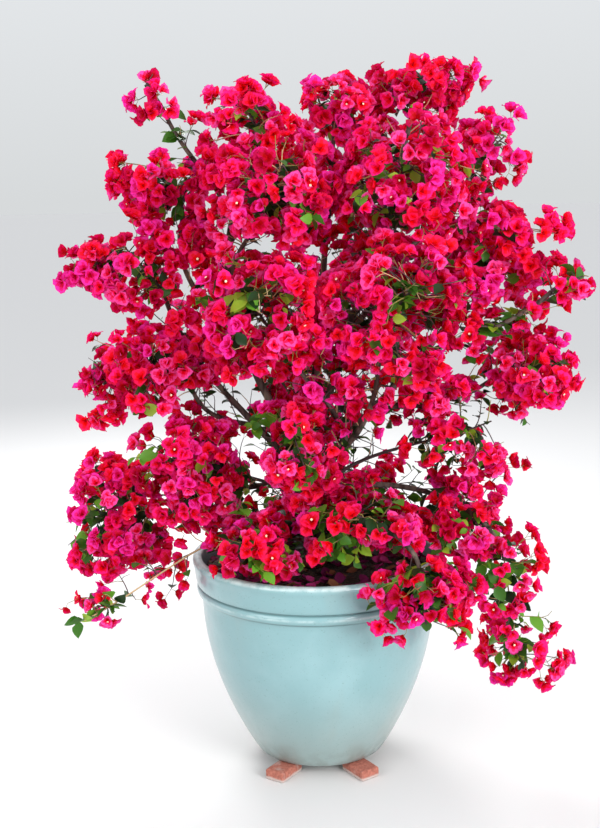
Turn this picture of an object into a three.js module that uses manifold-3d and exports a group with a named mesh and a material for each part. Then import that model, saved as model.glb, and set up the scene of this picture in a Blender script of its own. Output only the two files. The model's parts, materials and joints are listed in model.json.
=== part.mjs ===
// A bougainvillea in full bloom, growing in a round glazed pot that stands on four brick feet.
// Millimetres, Z up. The origin is on the pot's axis at ground level and -Y is the front.

import * as THREE from 'three';
import { mergeVertices } from 'three/addons/utils/BufferGeometryUtils.js';
import Module from 'manifold-3d';

const wasm = await Module();
wasm.setup();

// Sizes that drive everything

const CLEARANCE = 0.3;

const POT = {
  underside: 30,
  top: 600,
  baseRadius: 179,
  bodyTop: 487,
  bodyRadius: 325,
  bodyFullness: 0.9,
  beadRadius: 340,
  lipRadius: 350,
  innerLipRadius: 322,
  innerLipHeight: 588,
  wall: 20,
  floor: 26,
  sides: 34,
};

const FEET = {
  length: 96,
  width: 60,
  middleRadius: 189,
  turnFromFront: 34,
  edge: 2,
};

const SOIL = {
  top: 562,
  flatRadius: 90,
  fallToWall: 9,
};

const TRUNK = {
  height: 300,
  rootRadius: 31,
  tipRadius: 21,
  flare: 18,
  lean: [-14, 22],
  gnarl: 0.1,
  sides: 10,
  rings: 9,
};

const LIMB = {
  sides: 6,
  slender: 9,
  slenderSides: 5,
  ringLength: 150,
  tipShare: 0.5,
  stemRadius: 6.5,
  stemTipRadius: 5,
  samples: 8,
  room: 9,
  fork: 70,
  throatRoom: 12,
  entryReach: 0.62,
  entryDepth: 14,
  endReach: 0.5,
  endDepth: 30,
};

// A floret is three bracts in a cup. Each stands for a bunch of real ones, so it is larger than life.
const FLORET = {
  bract: 112,
  spread: 1.12,
  notch: 0.52,
  notchSpread: 0.93,
  heart: 9,
  nod: 0.4,
  sizes: [1, 0.88, 0.76, 0.64, 0.52, 0.42],
};

const TWIG = {
  rootRadius: 3.2,
  neckRadius: 2.3,
  sunk: 1,
  areaEach: 35000,
  fewest: 5,
  reach: 0.95,
  shortest: 22,
  shorten: 9,
  skip: 3,
  tries: 6,
};

const MARGIN = 2;
const SPACE_SWELL = 1.12;

// Masses of blossom. Each has its middle, its half sizes across, deep and tall, the limb that it
// grows from and how far along it, and the girth of its own bough, or 0 where its stem rises
// straight from the trunk. A mass that hangs is reached over the top, by a bough that arches down.

function massAt(name, at, half, from, along, girth, hang = 0) {
  return { name, at, half, from, along, girth, hang };
}

const SIDES = [
  massAt('crown_top_middle', [70, 10, 1790], [120, 150, 105], 'trunk', 0.97, 13),
  massAt('crown_top_left', [-155, -10, 1765], [118, 150, 118], 'trunk', 0.86, 13),
  massAt('crown_top_right', [290, 0, 1842], [150, 150, 92], 'trunk', 0.78, 13),
  massAt('shoulder_right', [478, 0, 1680], [98, 150, 125], 'crown_top_right', 0.55, 8),
  massAt('shoulder_left', [-382, 0, 1605], [165, 145, 125], 'crown_top_left', 0.45, 8),
  massAt('spray_top_left', [-405, 10, 1842], [74, 80, 76], 'crown_top_left', 0.8, 7),
  massAt('arm_left_high', [-456, -20, 1392], [222, 150, 112], 'trunk', 0.68, 12),
  massAt('arm_left_middle', [-446, -30, 1128], [222, 160, 142], 'arm_left_high', 0.35, 8),
  massAt('side_right_high', [480, 0, 1395], [185, 175, 160], 'trunk', 0.7, 12),
  massAt('spray_right', [648, -205, 1345], [72, 80, 66], 'side_right_high', 0.72, 7),
  massAt('arm_right', [570, -40, 1090], [158, 150, 122], 'side_right_high', 0.4, 8),
  massAt('side_right_low', [392, -100, 940], [158, 165, 140], 'trunk', 0.6, 0),
  massAt('skirt_left', [-330, -50, 850], [160, 175, 180], 'trunk', 0.5, 0),
  massAt('skirt_left_far', [-572, 40, 690], [145, 160, 175], 'trunk', 0.62, 10),
  massAt('skirt_right', [384, -50, 684], [158, 165, 118], 'trunk', 0.44, 0),
  massAt('trail_left', [-560, -170, 492], [140, 84, 66], 'trunk', 0.3, 0),
  massAt('trail_right', [532, -95, 432], [120, 118, 222], 'trunk', 0.52, 9, 1),
];

const FRONT = [
  massAt('front_middle_right', [205, -310, 1285], [190, 175, 175], 'trunk', 0.74, 12),
  massAt('front_upper_left', [-100, -230, 1590], [168, 165, 148], 'crown_top_left', 0.62, 8),
  massAt('front_upper_right', [230, -230, 1610], [178, 165, 152], 'crown_top_right', 0.42, 8),
  massAt('front_middle_left', [-135, -290, 1290], [172, 175, 158], 'front_middle_right', 0.42, 8),
  massAt('front_low_left', [-50, -255, 945], [122, 150, 140], 'trunk', 0.55, 0),
  massAt('front_low', [112, -225, 735], [152, 160, 108], 'trunk', 0.36, 0),
];

const RIM = [
  massAt('rim_spray_left', [-178, -240, 680], [105, 95, 76], 'trunk', 0.24, 0),
  massAt('rim_spray_right', [258, -378, 574], [136, 78, 110], 'trunk', 0.26, 7, 1),
];

// The far side answers the near side, which keeps the crown's gaps open right through it.
function behind({ name, at, half, from, along, girth }) {
  const renamed = (nearName) => nearName.replace('front', 'back');
  const higher = along + (from === 'trunk' ? 0.06 : 0.1);
  return massAt(renamed(name), [at[0], -at[1], at[2]], half, renamed(from), higher, girth);
}

const PLANTING_ORDER = [
  ...SIDES,
  ...FRONT,
  ...FRONT.map(behind),
  ...RIM,
];

// Colours

const MATERIALS = {
  glaze: new THREE.MeshStandardMaterial({ color: 0x9fcaca, roughness: 0.25 }),
  brick: new THREE.MeshStandardMaterial({ color: 0xc57f5c, roughness: 0.9 }),
  soil: new THREE.MeshStandardMaterial({ color: 0x3a2b26, roughness: 1 }),
  bark: new THREE.MeshStandardMaterial({ color: 0x75645a, roughness: 0.9 }),
  bloom: new THREE.MeshStandardMaterial({ color: 0xdb1458, roughness: 0.7 }),
  bloomDeep: new THREE.MeshStandardMaterial({ color: 0xb80f4b, roughness: 0.7 }),
};

// Small helpers

const UP = new THREE.Vector3(0, 0, 1);
const GOLDEN_TURN = Math.PI * (3 - Math.sqrt(5));

function vector(values) {
  return new THREE.Vector3(...values);
}

function seededRandom(seed) {
  let state = seed >>> 0;
  return () => {
    state = (state + 0x6d2b79f5) >>> 0;
    let mixed = Math.imul(state ^ (state >>> 15), state | 1);
    mixed ^= mixed + Math.imul(mixed ^ (mixed >>> 7), mixed | 61);
    return ((mixed ^ (mixed >>> 14)) >>> 0) / 4294967296;
  };
}

function signedVolume(position, index) {
  const [a, b, c] = [new THREE.Vector3(), new THREE.Vector3(), new THREE.Vector3()];
  let sum = 0;
  for (let i = 0; i < index.length; i += 3) {
    a.fromArray(position, index[i] * 3);
    b.fromArray(position, index[i + 1] * 3);
    c.fromArray(position, index[i + 2] * 3);
    sum += a.dot(b.cross(c)) / 6;
  }
  return sum;
}

function solidOf(geometry) {
  const bare = new THREE.BufferGeometry();
  bare.setAttribute('position', geometry.getAttribute('position'));
  bare.setIndex(geometry.getIndex());
  const merged = mergeVertices(bare, 1e-3);
  const position = merged.getAttribute('position').array;
  const index = merged.getIndex().array;
  const triangles = [];
  for (let i = 0; i < index.length; i += 3) {
    const [a, b, c] = [index[i], index[i + 1], index[i + 2]];
    if (a !== b && b !== c && c !== a) {
      triangles.push(a, b, c);
    }
  }
  if (signedVolume(position, triangles) < 0) {
    triangles.reverse();
  }
  return new wasm.Manifold(new wasm.Mesh({
    numProp: 3,
    vertProperties: Float32Array.from(position),
    triVerts: Uint32Array.from(triangles),
  }));
}

function largestBody(solid) {
  const bodies = solid.decompose();
  bodies.sort((first, second) => second.volume() - first.volume());
  return bodies[0];
}

function meshOf(name, solid, material) {
  const { vertProperties, triVerts } = solid.getMesh();
  const geometry = new THREE.BufferGeometry();
  geometry.setAttribute('position', new THREE.BufferAttribute(Float32Array.from(vertProperties), 3));
  geometry.setIndex(Array.from(triVerts));
  geometry.computeVertexNormals();
  const mesh = new THREE.Mesh(geometry, material.clone());
  mesh.name = name;
  return mesh;
}

// Pot, soil and feet

function bodyRadiusAt(height) {
  const share = (height - POT.underside) / (POT.bodyTop - POT.underside);
  const swell = Math.sin((Math.PI / 2) * share ** POT.bodyFullness);
  return POT.baseRadius + (POT.bodyRadius - POT.baseRadius) * swell;
}

function bodyHeights(count, from) {
  const rise = (POT.bodyTop - from) / count;
  return Array.from({ length: count + 1 }, (_, step) => from + rise * step);
}

function innerProfile(gap) {
  const floorTop = POT.underside + POT.floor + gap;
  const points = [new THREE.Vector2(0, floorTop)];
  for (const height of bodyHeights(3, floorTop)) {
    points.push(new THREE.Vector2(bodyRadiusAt(height) - POT.wall - gap, height));
  }
  return points;
}

function turned(points) {
  const geometry = new THREE.LatheGeometry(points, POT.sides);
  geometry.rotateX(Math.PI / 2);
  return solidOf(geometry);
}

function potSolid() {
  const outside = [
    new THREE.Vector2(0, POT.underside),
    new THREE.Vector2(POT.baseRadius - 5, POT.underside),
  ];
  for (const height of bodyHeights(6, POT.underside + 6)) {
    outside.push(new THREE.Vector2(bodyRadiusAt(height), height));
  }
  const collar = [
    [POT.bodyRadius + 3, 493],
    [POT.beadRadius - 3, 498],
    [POT.beadRadius, 508],
    [POT.beadRadius - 7, 521],
    [POT.beadRadius, 526],
    [POT.lipRadius - 4, 570],
    [POT.lipRadius, 586],
    [POT.lipRadius - 5, 597],
    [POT.lipRadius - 14, POT.top],
    [POT.innerLipRadius + 4, 597],
    [POT.innerLipRadius, POT.innerLipHeight],
  ];
  const inside = innerProfile(0).reverse();
  const collarPoints = collar.map(([radius, height]) => new THREE.Vector2(radius, height));
  return turned([...outside, ...collarPoints, ...inside]);
}

function soilWallRadiusAt(height) {
  const share = (height - POT.bodyTop) / (POT.innerLipHeight - POT.bodyTop);
  const throat = POT.bodyRadius - POT.wall;
  return throat + (POT.innerLipRadius - throat) * share - CLEARANCE;
}

function soilSolid() {
  const edgeHeight = SOIL.top - SOIL.fallToWall;
  return turned([
    ...innerProfile(CLEARANCE),
    new THREE.Vector2(soilWallRadiusAt(edgeHeight), edgeHeight),
    new THREE.Vector2(SOIL.flatRadius, SOIL.top),
    new THREE.Vector2(0, SOIL.top),
  ]);
}

function footSolid(turn) {
  const [halfLength, halfWidth] = [FEET.length / 2 - FEET.edge, FEET.width / 2 - FEET.edge];
  const outline = new THREE.Shape([
    new THREE.Vector2(-halfLength, -halfWidth),
    new THREE.Vector2(halfLength, -halfWidth),
    new THREE.Vector2(halfLength, halfWidth),
    new THREE.Vector2(-halfLength, halfWidth),
  ]);
  const geometry = new THREE.ExtrudeGeometry(outline, {
    depth: POT.underside - CLEARANCE - 2 * FEET.edge,
    bevelEnabled: true,
    bevelSegments: 1,
    bevelSize: FEET.edge,
    bevelThickness: FEET.edge,
  });
  geometry.translate(FEET.middleRadius, 0, FEET.edge);
  geometry.rotateZ(turn);
  return solidOf(geometry);
}

// How far a point is from the pot and its soil, negative inside them.
function potRoom(point) {
  const radius = Math.hypot(point.x, point.y);
  const outside = radius - POT.lipRadius;
  if (point.z >= POT.top) {
    return Math.hypot(Math.max(0, POT.innerLipRadius - radius, outside), point.z - POT.top);
  }
  if (radius > POT.innerLipRadius) {
    return outside;
  }
  return Math.min(POT.innerLipRadius - LIMB.throatRoom - radius, point.z - SOIL.top);
}

// Limbs: each is a curve with a radius along it

const limbs = new Map();

function limbOf(curve, rootRadius, tipRadius, extras = {}) {
  const length = curve.getLength();
  const radiusAt = (share) => rootRadius + (tipRadius - rootRadius) * share ** 0.8;
  const steps = Math.ceil(length / LIMB.samples);
  const samples = Array.from({ length: steps + 1 }, (_, step) => ({
    point: curve.getPointAt(step / steps),
    radius: radiusAt(step / steps),
    reach: (length * step) / steps,
  }));
  const sides = rootRadius > LIMB.slender ? LIMB.sides : LIMB.slenderSides;
  return { curve, length, radiusAt, samples, sides, relief: () => 1, ...extras };
}

function limbSolid(limb, grow = 0) {
  const rings = limb.rings ?? Math.max(3, Math.round(limb.length / LIMB.ringLength));
  const geometry = new THREE.CylinderGeometry(1, 1, 1, limb.sides, rings);
  const frames = limb.curve.computeFrenetFrames(rings);
  const position = geometry.getAttribute('position');
  const swell = grow / Math.cos(Math.PI / limb.sides);
  for (let i = 0; i < position.count; i += 1) {
    const share = position.getY(i) + 0.5;
    const ring = Math.round(share * rings);
    const [across, along] = [position.getX(i), position.getZ(i)];
    const relief = limb.relief(Math.atan2(along, across), share);
    const radius = limb.radiusAt(share) * relief + swell;
    const point = limb.curve.getPointAt(ring / rings);
    if (grow > 0 && (ring === 0 || ring === rings)) {
      point.addScaledVector(frames.tangents[ring], ring === 0 ? -grow : grow);
    }
    point.addScaledVector(frames.normals[ring], across * radius);
    point.addScaledVector(frames.binormals[ring], -along * radius);
    position.setXYZ(i, point.x, point.y, point.z);
  }
  return solidOf(geometry);
}

function growTrunk() {
  const foot = new THREE.Vector3(0, 0, SOIL.top + CLEARANCE);
  const tip = new THREE.Vector3(TRUNK.lean[0], TRUNK.lean[1], foot.z + TRUNK.height);
  const curve = new THREE.CubicBezierCurve3(
    foot,
    foot.clone().addScaledVector(UP, TRUNK.height * 0.35),
    tip.clone().add(new THREE.Vector3(-10, -16, -TRUNK.height * 0.35)),
    tip,
  );
  const trunk = limbOf(curve, TRUNK.rootRadius, TRUNK.tipRadius, {
    sides: TRUNK.sides,
    rings: TRUNK.rings,
    relief: (angle, share) => 1 + TRUNK.gnarl * Math.sin(3 * angle + 4 * share),
  });
  const plainRadiusAt = trunk.radiusAt;
  trunk.radiusAt = (share) => plainRadiusAt(share) + TRUNK.flare * Math.exp(-share * 10);
  for (const sample of trunk.samples) {
    sample.radius = trunk.radiusAt(sample.reach / trunk.length) * (1 + TRUNK.gnarl);
  }
  return trunk;
}

// The least room between two limbs, looking only at what lies beyond a reach along the first.
function roomBetween(limb, other, beyond) {
  let room = Infinity;
  for (const sample of limb.samples) {
    if (sample.reach < beyond) {
      continue;
    }
    for (const obstacle of other.samples) {
      const distance = obstacle.point.distanceTo(sample.point);
      room = Math.min(room, distance - obstacle.radius - sample.radius);
    }
  }
  return room;
}

// The least room that a new limb has beside every limb grown so far and beside the pot.
function leastRoom(limb, parent) {
  const clearOfParent = 2.2 * (parent.radius + limb.radiusAt(0)) + 6;
  let room = Infinity;
  for (const sample of limb.samples) {
    if (sample.reach > clearOfParent) {
      room = Math.min(room, potRoom(sample.point) - sample.radius);
    }
  }
  for (const [name, other] of limbs) {
    if (name !== parent.skip) {
      room = Math.min(room, roomBetween(limb, other, name === parent.name ? clearOfParent : LIMB.fork));
    }
  }
  return room;
}

// The limbs that a new one meets, its parent among them. It is cut clear of each where it is built.
function limbsMetBy(limb, skip) {
  return [...limbs.keys()].filter((name) => name !== skip && roomBetween(limb, limbs.get(name), 0) < 2);
}

function cutClear(solid, names) {
  return names.reduce((rest, name) => rest.subtract(limbSolid(limbs.get(name), CLEARANCE)), solid);
}

function perpendicularTo(direction, turn) {
  const helper = Math.abs(direction.z) < 0.9 ? UP : new THREE.Vector3(1, 0, 0);
  const first = new THREE.Vector3().crossVectors(direction, helper).normalize();
  return first.applyAxisAngle(direction, turn);
}

// Tries the plain curve first, then bends it aside until it has room enough. A stem that carries
// on from a bough keeps its first direction, so only its far half is bent.
function growClear(from, aim, to, arrive, radii, parent) {
  const span = from.distanceTo(to);
  const direction = to.clone().sub(from).normalize();
  let best = null;
  for (const amount of [0, 0.08, 0.16, 0.26]) {
    for (let turn = 0; turn < (amount ? 8 : 1); turn += 1) {
      const aside = perpendicularTo(direction, (turn * Math.PI) / 4).multiplyScalar(amount * span);
      const curve = new THREE.CubicBezierCurve3(
        from,
        from.clone().addScaledVector(aim, span * 0.36).addScaledVector(aside, parent.skip ? 0 : 0.6),
        to.clone().addScaledVector(arrive, -span * 0.34).add(aside),
        to,
      );
      const limb = limbOf(curve, radii[0], radii[1]);
      limb.room = leastRoom(limb, parent);
      if (!best || limb.room > best.room) {
        best = limb;
      }
      if (best.room > LIMB.room) {
        return best;
      }
    }
  }
  return best;
}

// Spaces: an ellipsoid for each mass, cut by a plane against every neighbour it would meet

function supportOf({ half }, direction) {
  return direction.clone().multiply(half).length();
}

function spacesOf(rows) {
  const masses = rows.map((row, index) => ({
    ...row,
    at: vector(row.at),
    half: vector(row.half).multiplyScalar(SPACE_SWELL),
    seed: 101 + index * 37,
    walls: [],
  }));
  for (const mass of masses) {
    for (const other of masses) {
      if (other === mass) {
        continue;
      }
      const towards = other.at.clone().sub(mass.at);
      const distance = towards.length();
      towards.normalize();
      const own = supportOf(mass, towards);
      const its = supportOf(other, towards);
      const offset = mass.at.dot(towards) + (distance * own) / (own + its);
      mass.walls.push({ normal: towards, offset });
    }
  }
  return masses;
}

function isInside(mass, point, margin) {
  const away = point.clone().sub(mass.at).divide(mass.half);
  if (away.length() > 1) {
    return false;
  }
  return mass.walls.every((wall) => wall.normal.dot(point) < wall.offset - margin);
}

function pulledInside(mass, point, margin) {
  const away = point.clone().sub(mass.at);
  for (let share = 1; share > 0; share -= 0.05) {
    const trial = mass.at.clone().addScaledVector(away, share);
    if (isInside(mass, trial, margin) && potRoom(trial) > margin) {
      return trial;
    }
  }
  return mass.at.clone();
}

// Boughs and stems

function growBoughAndStem(mass) {
  const parent = limbs.get(mass.from);
  const from = parent.curve.getPointAt(mass.along);
  const backwards = from.clone().sub(mass.at).normalize();
  if (mass.hang) {
    backwards.lerp(UP, 0.85).normalize();
  }
  const support = supportOf(mass, backwards);
  const nearSide = mass.at.clone().addScaledVector(backwards, support * LIMB.entryReach);
  const farSide = mass.at.clone().addScaledVector(backwards, -support * LIMB.endReach);
  const entry = pulledInside(mass, nearSide, LIMB.entryDepth);
  const farEnd = pulledInside(mass, farSide, LIMB.endDepth);
  const inwards = farEnd.clone().sub(entry).normalize();
  const towards = mass.at.clone().sub(from).normalize();
  const aim = parent.curve.getTangentAt(mass.along).multiplyScalar(0.7).add(towards).normalize();
  if (mass.hang) {
    aim.addScaledVector(UP, 0.7).normalize();
  }
  const root = { name: mass.from, radius: parent.radiusAt(mass.along) };
  if (!mass.girth) {
    mass.stem = growClear(from, aim, farEnd, inwards, [LIMB.stemRadius + 1, LIMB.stemTipRadius], root);
    mass.stem.meets = limbsMetBy(mass.stem);
    limbs.set(`stem_${mass.name}`, mass.stem);
    return;
  }
  const girth = Math.min(mass.girth, root.radius * 0.8);
  const tipRadius = Math.max(LIMB.stemTipRadius + 0.8, girth * LIMB.tipShare);
  const bough = growClear(from, aim, entry, inwards, [girth, tipRadius], root);
  bough.meets = limbsMetBy(bough);
  limbs.set(mass.name, bough);
  const onwards = bough.curve.getTangentAt(1);
  const stemStart = entry.clone().addScaledVector(onwards, CLEARANCE);
  const nearTip = { name: mass.name, radius: 0, skip: mass.name };
  mass.stem = growClear(stemStart, onwards, farEnd, inwards, [tipRadius, LIMB.stemTipRadius], nearTip);
  mass.stem.meets = limbsMetBy(mass.stem, mass.name);
  limbs.set(`stem_${mass.name}`, mass.stem);
}

// Florets, each on a twig of its own

// A cylinder of six sides and two lengths becomes a three-sided twig that opens into a floret:
// its lower rings close up in pairs and its upper ring is pulled out into bracts and notches.
function floretCorner(x, y, z, length, size) {
  const isMiddle = Math.hypot(x, z) < 0.5;
  const turn = Math.atan2(x, z);
  if (y < 0.25) {
    const radius = y < -0.25 ? TWIG.rootRadius : TWIG.neckRadius;
    const ridge = Math.floor((turn / Math.PI) * 1.5 + 0.01) * (Math.PI / 1.5);
    const height = y < -0.25 ? 0 : length;
    return isMiddle ? [0, 0, height] : [radius * Math.cos(ridge), radius * Math.sin(ridge), height];
  }
  if (isMiddle) {
    return [0, 0, length + FLORET.heart * size];
  }
  const isTip = Math.cos(3 * turn) > 0;
  const bract = FLORET.bract * size * (isTip ? 1 : FLORET.notch);
  const spread = isTip ? FLORET.spread : FLORET.notchSpread;
  const out = bract * Math.sin(spread);
  return [out * Math.cos(turn), out * Math.sin(turn), length + bract * Math.cos(spread)];
}

function stalkedFloret(from, neck, nod, roll, size) {
  const axis = neck.clone().sub(from).normalize();
  const length = from.distanceTo(neck);
  const geometry = new THREE.CylinderGeometry(1, 1, 1, 6, 2);
  const position = geometry.getAttribute('position');
  const first = perpendicularTo(axis, roll);
  const place = new THREE.Matrix4().makeBasis(first, new THREE.Vector3().crossVectors(axis, first), axis);
  const corners = [];
  for (let i = 0; i < position.count; i += 1) {
    const corner = vector(floretCorner(position.getX(i), position.getY(i), position.getZ(i), length, size));
    corner.applyMatrix4(place).add(from);
    if (position.getY(i) > 0.25) {
      corner.sub(neck).applyQuaternion(nod).add(neck);
    }
    position.setXYZ(i, corner.x, corner.y, corner.z);
    corners.push(corner);
  }
  const index = geometry.getIndex().array;
  const faces = [];
  for (let i = 0; i < index.length; i += 3) {
    const face = new THREE.Triangle(corners[index[i]], corners[index[i + 1]], corners[index[i + 2]]);
    if (face.getArea() > 1) {
      faces.push(face);
    }
  }
  const middle = from.clone().lerp(neck, 0.5);
  return { geometry, faces, corners, middle, reach: length / 2 + FLORET.bract };
}

// Whether a floret runs into one that has grown already. They meet only in the stem.
function crosses(floret, grown) {
  floret.solid = solidOf(floret.geometry);
  return grown.some((other) => (
    other.middle.distanceTo(floret.middle) < other.reach + floret.reach
      && !other.solid.intersect(floret.solid).isEmpty()
  ));
}

function isClear(mass, floret, grown) {
  if (!floret.corners.every((corner) => isInside(mass, corner, MARGIN) && potRoom(corner) > 3 * MARGIN)) {
    return false;
  }
  if (floret.faces.some((face) => potRoom(face.getMidpoint(new THREE.Vector3())) < 3 * MARGIN)) {
    return false;
  }
  const nearest = new THREE.Vector3();
  for (const limb of limbs.values()) {
    if (limb === mass.stem) {
      continue;
    }
    for (const sample of limb.samples) {
      if (sample.point.distanceTo(floret.middle) > floret.reach + 20) {
        continue;
      }
      for (const face of floret.faces) {
        face.closestPointToPoint(sample.point, nearest);
        if (nearest.distanceTo(sample.point) < sample.radius + LIMB.samples / 2 + MARGIN) {
          return false;
        }
      }
    }
  }
  return !crosses(floret, grown);
}

// Points spread evenly over the mass's ellipsoid.
function goalsOf(mass, random) {
  const { x, y, z } = mass.half;
  const area = 4 * Math.PI * (((x * y) ** 1.6 + (x * z) ** 1.6 + (y * z) ** 1.6) / 3) ** (1 / 1.6);
  const count = Math.max(TWIG.fewest, Math.round(area / TWIG.areaEach));
  const start = random() * Math.PI * 2;
  return Array.from({ length: count }, (_, index) => {
    const height = 1 - (2 * index + 1) / count;
    const ring = Math.sqrt(1 - height * height);
    const turn = start + index * GOLDEN_TURN;
    return new THREE.Vector3(ring * Math.cos(turn), ring * Math.sin(turn), height);
  });
}

// Where a twig may start: along the part of the stem that lies in its own space.
function startsFor(mass) {
  return mass.stem.samples
    .map((sample) => sample.point)
    .filter((point) => isInside(mass, point, TWIG.rootRadius + MARGIN));
}

// A floret grows from the stem's nearest points first, and as large and as far out as it can.
function growFloret(mass, goal, random, grown) {
  const roll = random() * Math.PI * 2;
  const nodAxis = perpendicularTo(UP, random() * Math.PI * 2);
  const nod = new THREE.Quaternion().setFromAxisAngle(nodAxis, FLORET.nod * random());
  const starts = startsFor(mass).filter((point) => point.distanceTo(goal) > TWIG.shortest * 1.6);
  starts.sort((one, other) => one.distanceTo(goal) - other.distanceTo(goal));
  for (const point of starts.filter((_, index) => index % TWIG.skip === 0).slice(0, TWIG.tries)) {
    const direction = goal.clone().sub(point).normalize();
    const from = point.clone().addScaledVector(direction, -TWIG.sunk);
    for (const size of FLORET.sizes) {
      let length = point.distanceTo(goal) - FLORET.bract * size * Math.cos(FLORET.spread);
      while (length > TWIG.shortest) {
        const neck = point.clone().addScaledVector(direction, length);
        const floret = stalkedFloret(from, neck, nod, roll, size);
        if (isClear(mass, floret, grown)) {
          return floret;
        }
        length -= TWIG.shorten;
      }
    }
  }
  return null;
}

function foliageSolid(mass) {
  const random = seededRandom(mass.seed);
  const grown = [];
  for (const direction of goalsOf(mass, random)) {
    const surface = direction.multiply(mass.half).multiplyScalar(TWIG.reach).add(mass.at);
    const floret = growFloret(mass, pulledInside(mass, surface, 4), random, grown);
    if (floret) {
      grown.push(floret);
    }
  }
  let fused = wasm.Manifold.union([limbSolid(mass.stem), ...grown.map((floret) => floret.solid)]);
  if (mass.girth) {
    fused = fused.subtract(limbSolid(limbs.get(mass.name), CLEARANCE * 0.95));
  }
  return largestBody(cutClear(fused, mass.stem.meets)).simplify(0.02);
}

// The plant and its pot, put together

const group = new THREE.Group();

group.add(meshOf('pot', potSolid(), MATERIALS.glaze));
group.add(meshOf('soil', soilSolid(), MATERIALS.soil));

const footPlaces = [
  ['foot_front_right', -90 + FEET.turnFromFront],
  ['foot_front_left', -90 - FEET.turnFromFront],
  ['foot_back_right', 90 - FEET.turnFromFront],
  ['foot_back_left', 90 + FEET.turnFromFront],
];
for (const [name, degrees] of footPlaces) {
  group.add(meshOf(name, footSolid((degrees * Math.PI) / 180), MATERIALS.brick));
}

limbs.set('trunk', growTrunk());
group.add(meshOf('trunk', limbSolid(limbs.get('trunk')), MATERIALS.bark));

const masses = spacesOf(PLANTING_ORDER);
masses.forEach(growBoughAndStem);

for (const { name } of masses.filter(({ girth }) => girth)) {
  const bough = limbs.get(name);
  const solid = largestBody(cutClear(limbSolid(bough), bough.meets));
  group.add(meshOf(`bough_${name}`, solid, MATERIALS.bark));
}

for (const [index, each] of masses.entries()) {
  const material = index % 3 === 1 ? MATERIALS.bloomDeep : MATERIALS.bloom;
  group.add(meshOf(`foliage_${each.name}`, foliageSolid(each), material));
}

export default group;
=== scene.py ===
"""A bougainvillea in full bloom in a glazed pot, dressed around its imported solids.

Metres, Z up. The origin is on the pot's axis at ground level and -Y is the front.
"""

import json
import math
import random
from dataclasses import dataclass, field
from functools import partial

import bmesh
import bpy
import numpy as np
from mathutils import Matrix, Vector, noise

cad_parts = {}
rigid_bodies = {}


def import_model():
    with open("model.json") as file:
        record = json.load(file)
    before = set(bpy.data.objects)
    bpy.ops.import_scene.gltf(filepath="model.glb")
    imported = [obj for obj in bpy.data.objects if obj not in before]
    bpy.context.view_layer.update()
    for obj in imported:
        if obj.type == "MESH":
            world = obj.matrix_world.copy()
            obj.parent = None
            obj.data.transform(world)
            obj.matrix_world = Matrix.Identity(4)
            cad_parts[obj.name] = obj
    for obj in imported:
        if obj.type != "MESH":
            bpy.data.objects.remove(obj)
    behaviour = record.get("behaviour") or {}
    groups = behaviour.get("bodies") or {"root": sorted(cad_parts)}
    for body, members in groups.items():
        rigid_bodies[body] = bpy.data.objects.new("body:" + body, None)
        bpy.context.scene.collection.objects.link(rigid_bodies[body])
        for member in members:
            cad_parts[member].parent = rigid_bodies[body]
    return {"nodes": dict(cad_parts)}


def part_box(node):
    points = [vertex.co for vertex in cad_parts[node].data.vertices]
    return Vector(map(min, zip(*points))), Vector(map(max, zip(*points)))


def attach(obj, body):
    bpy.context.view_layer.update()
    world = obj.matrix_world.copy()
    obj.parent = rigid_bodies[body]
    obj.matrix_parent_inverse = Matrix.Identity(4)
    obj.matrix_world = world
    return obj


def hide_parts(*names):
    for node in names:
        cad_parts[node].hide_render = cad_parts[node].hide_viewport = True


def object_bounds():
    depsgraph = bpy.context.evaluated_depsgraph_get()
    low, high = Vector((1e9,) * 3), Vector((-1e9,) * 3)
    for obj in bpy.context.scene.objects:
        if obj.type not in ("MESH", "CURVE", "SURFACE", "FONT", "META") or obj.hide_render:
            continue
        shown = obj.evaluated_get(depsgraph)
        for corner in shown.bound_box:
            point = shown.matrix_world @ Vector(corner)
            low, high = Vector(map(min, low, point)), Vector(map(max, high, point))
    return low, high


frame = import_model()
solid_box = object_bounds()

# Sizes that this script shares with the solids

CLEARANCE = 0.0003

UNDERSIDE = 0.030
BASE_RADIUS = 0.179
BODY_TOP = 0.487
BODY_RADIUS = 0.325
BODY_FULLNESS = 0.9
LOW_GROOVE = 0.4925
BEAD_HEIGHT = 0.508
BEAD_RADIUS = 0.340
HIGH_GROOVE = 0.5215
POT_TOP = 0.600
LIP_RADIUS = 0.350
INNER_LIP_RADIUS = 0.322
POT_WALL = 0.020
POT_FLOOR = 0.026
THROAT_ROOM = 0.012
SOIL_TOP = 0.562
SOIL_FLAT_RADIUS = 0.090
SOIL_FALL = 0.009
BRICK_LENGTH = 0.096
BRICK_WIDTH = 0.060

TRUNK_HEIGHT = 0.300
TRUNK_LEAN = (-0.014, 0.022)
TRUNK_SWAY = (-0.010, -0.016)
TRUNK_HANDLE = 0.35
TRUNK_ROOT_RADIUS = 0.031
TRUNK_TIP_RADIUS = 0.021
TRUNK_FLARE = 0.018
TRUNK_GNARL = 0.1

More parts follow.
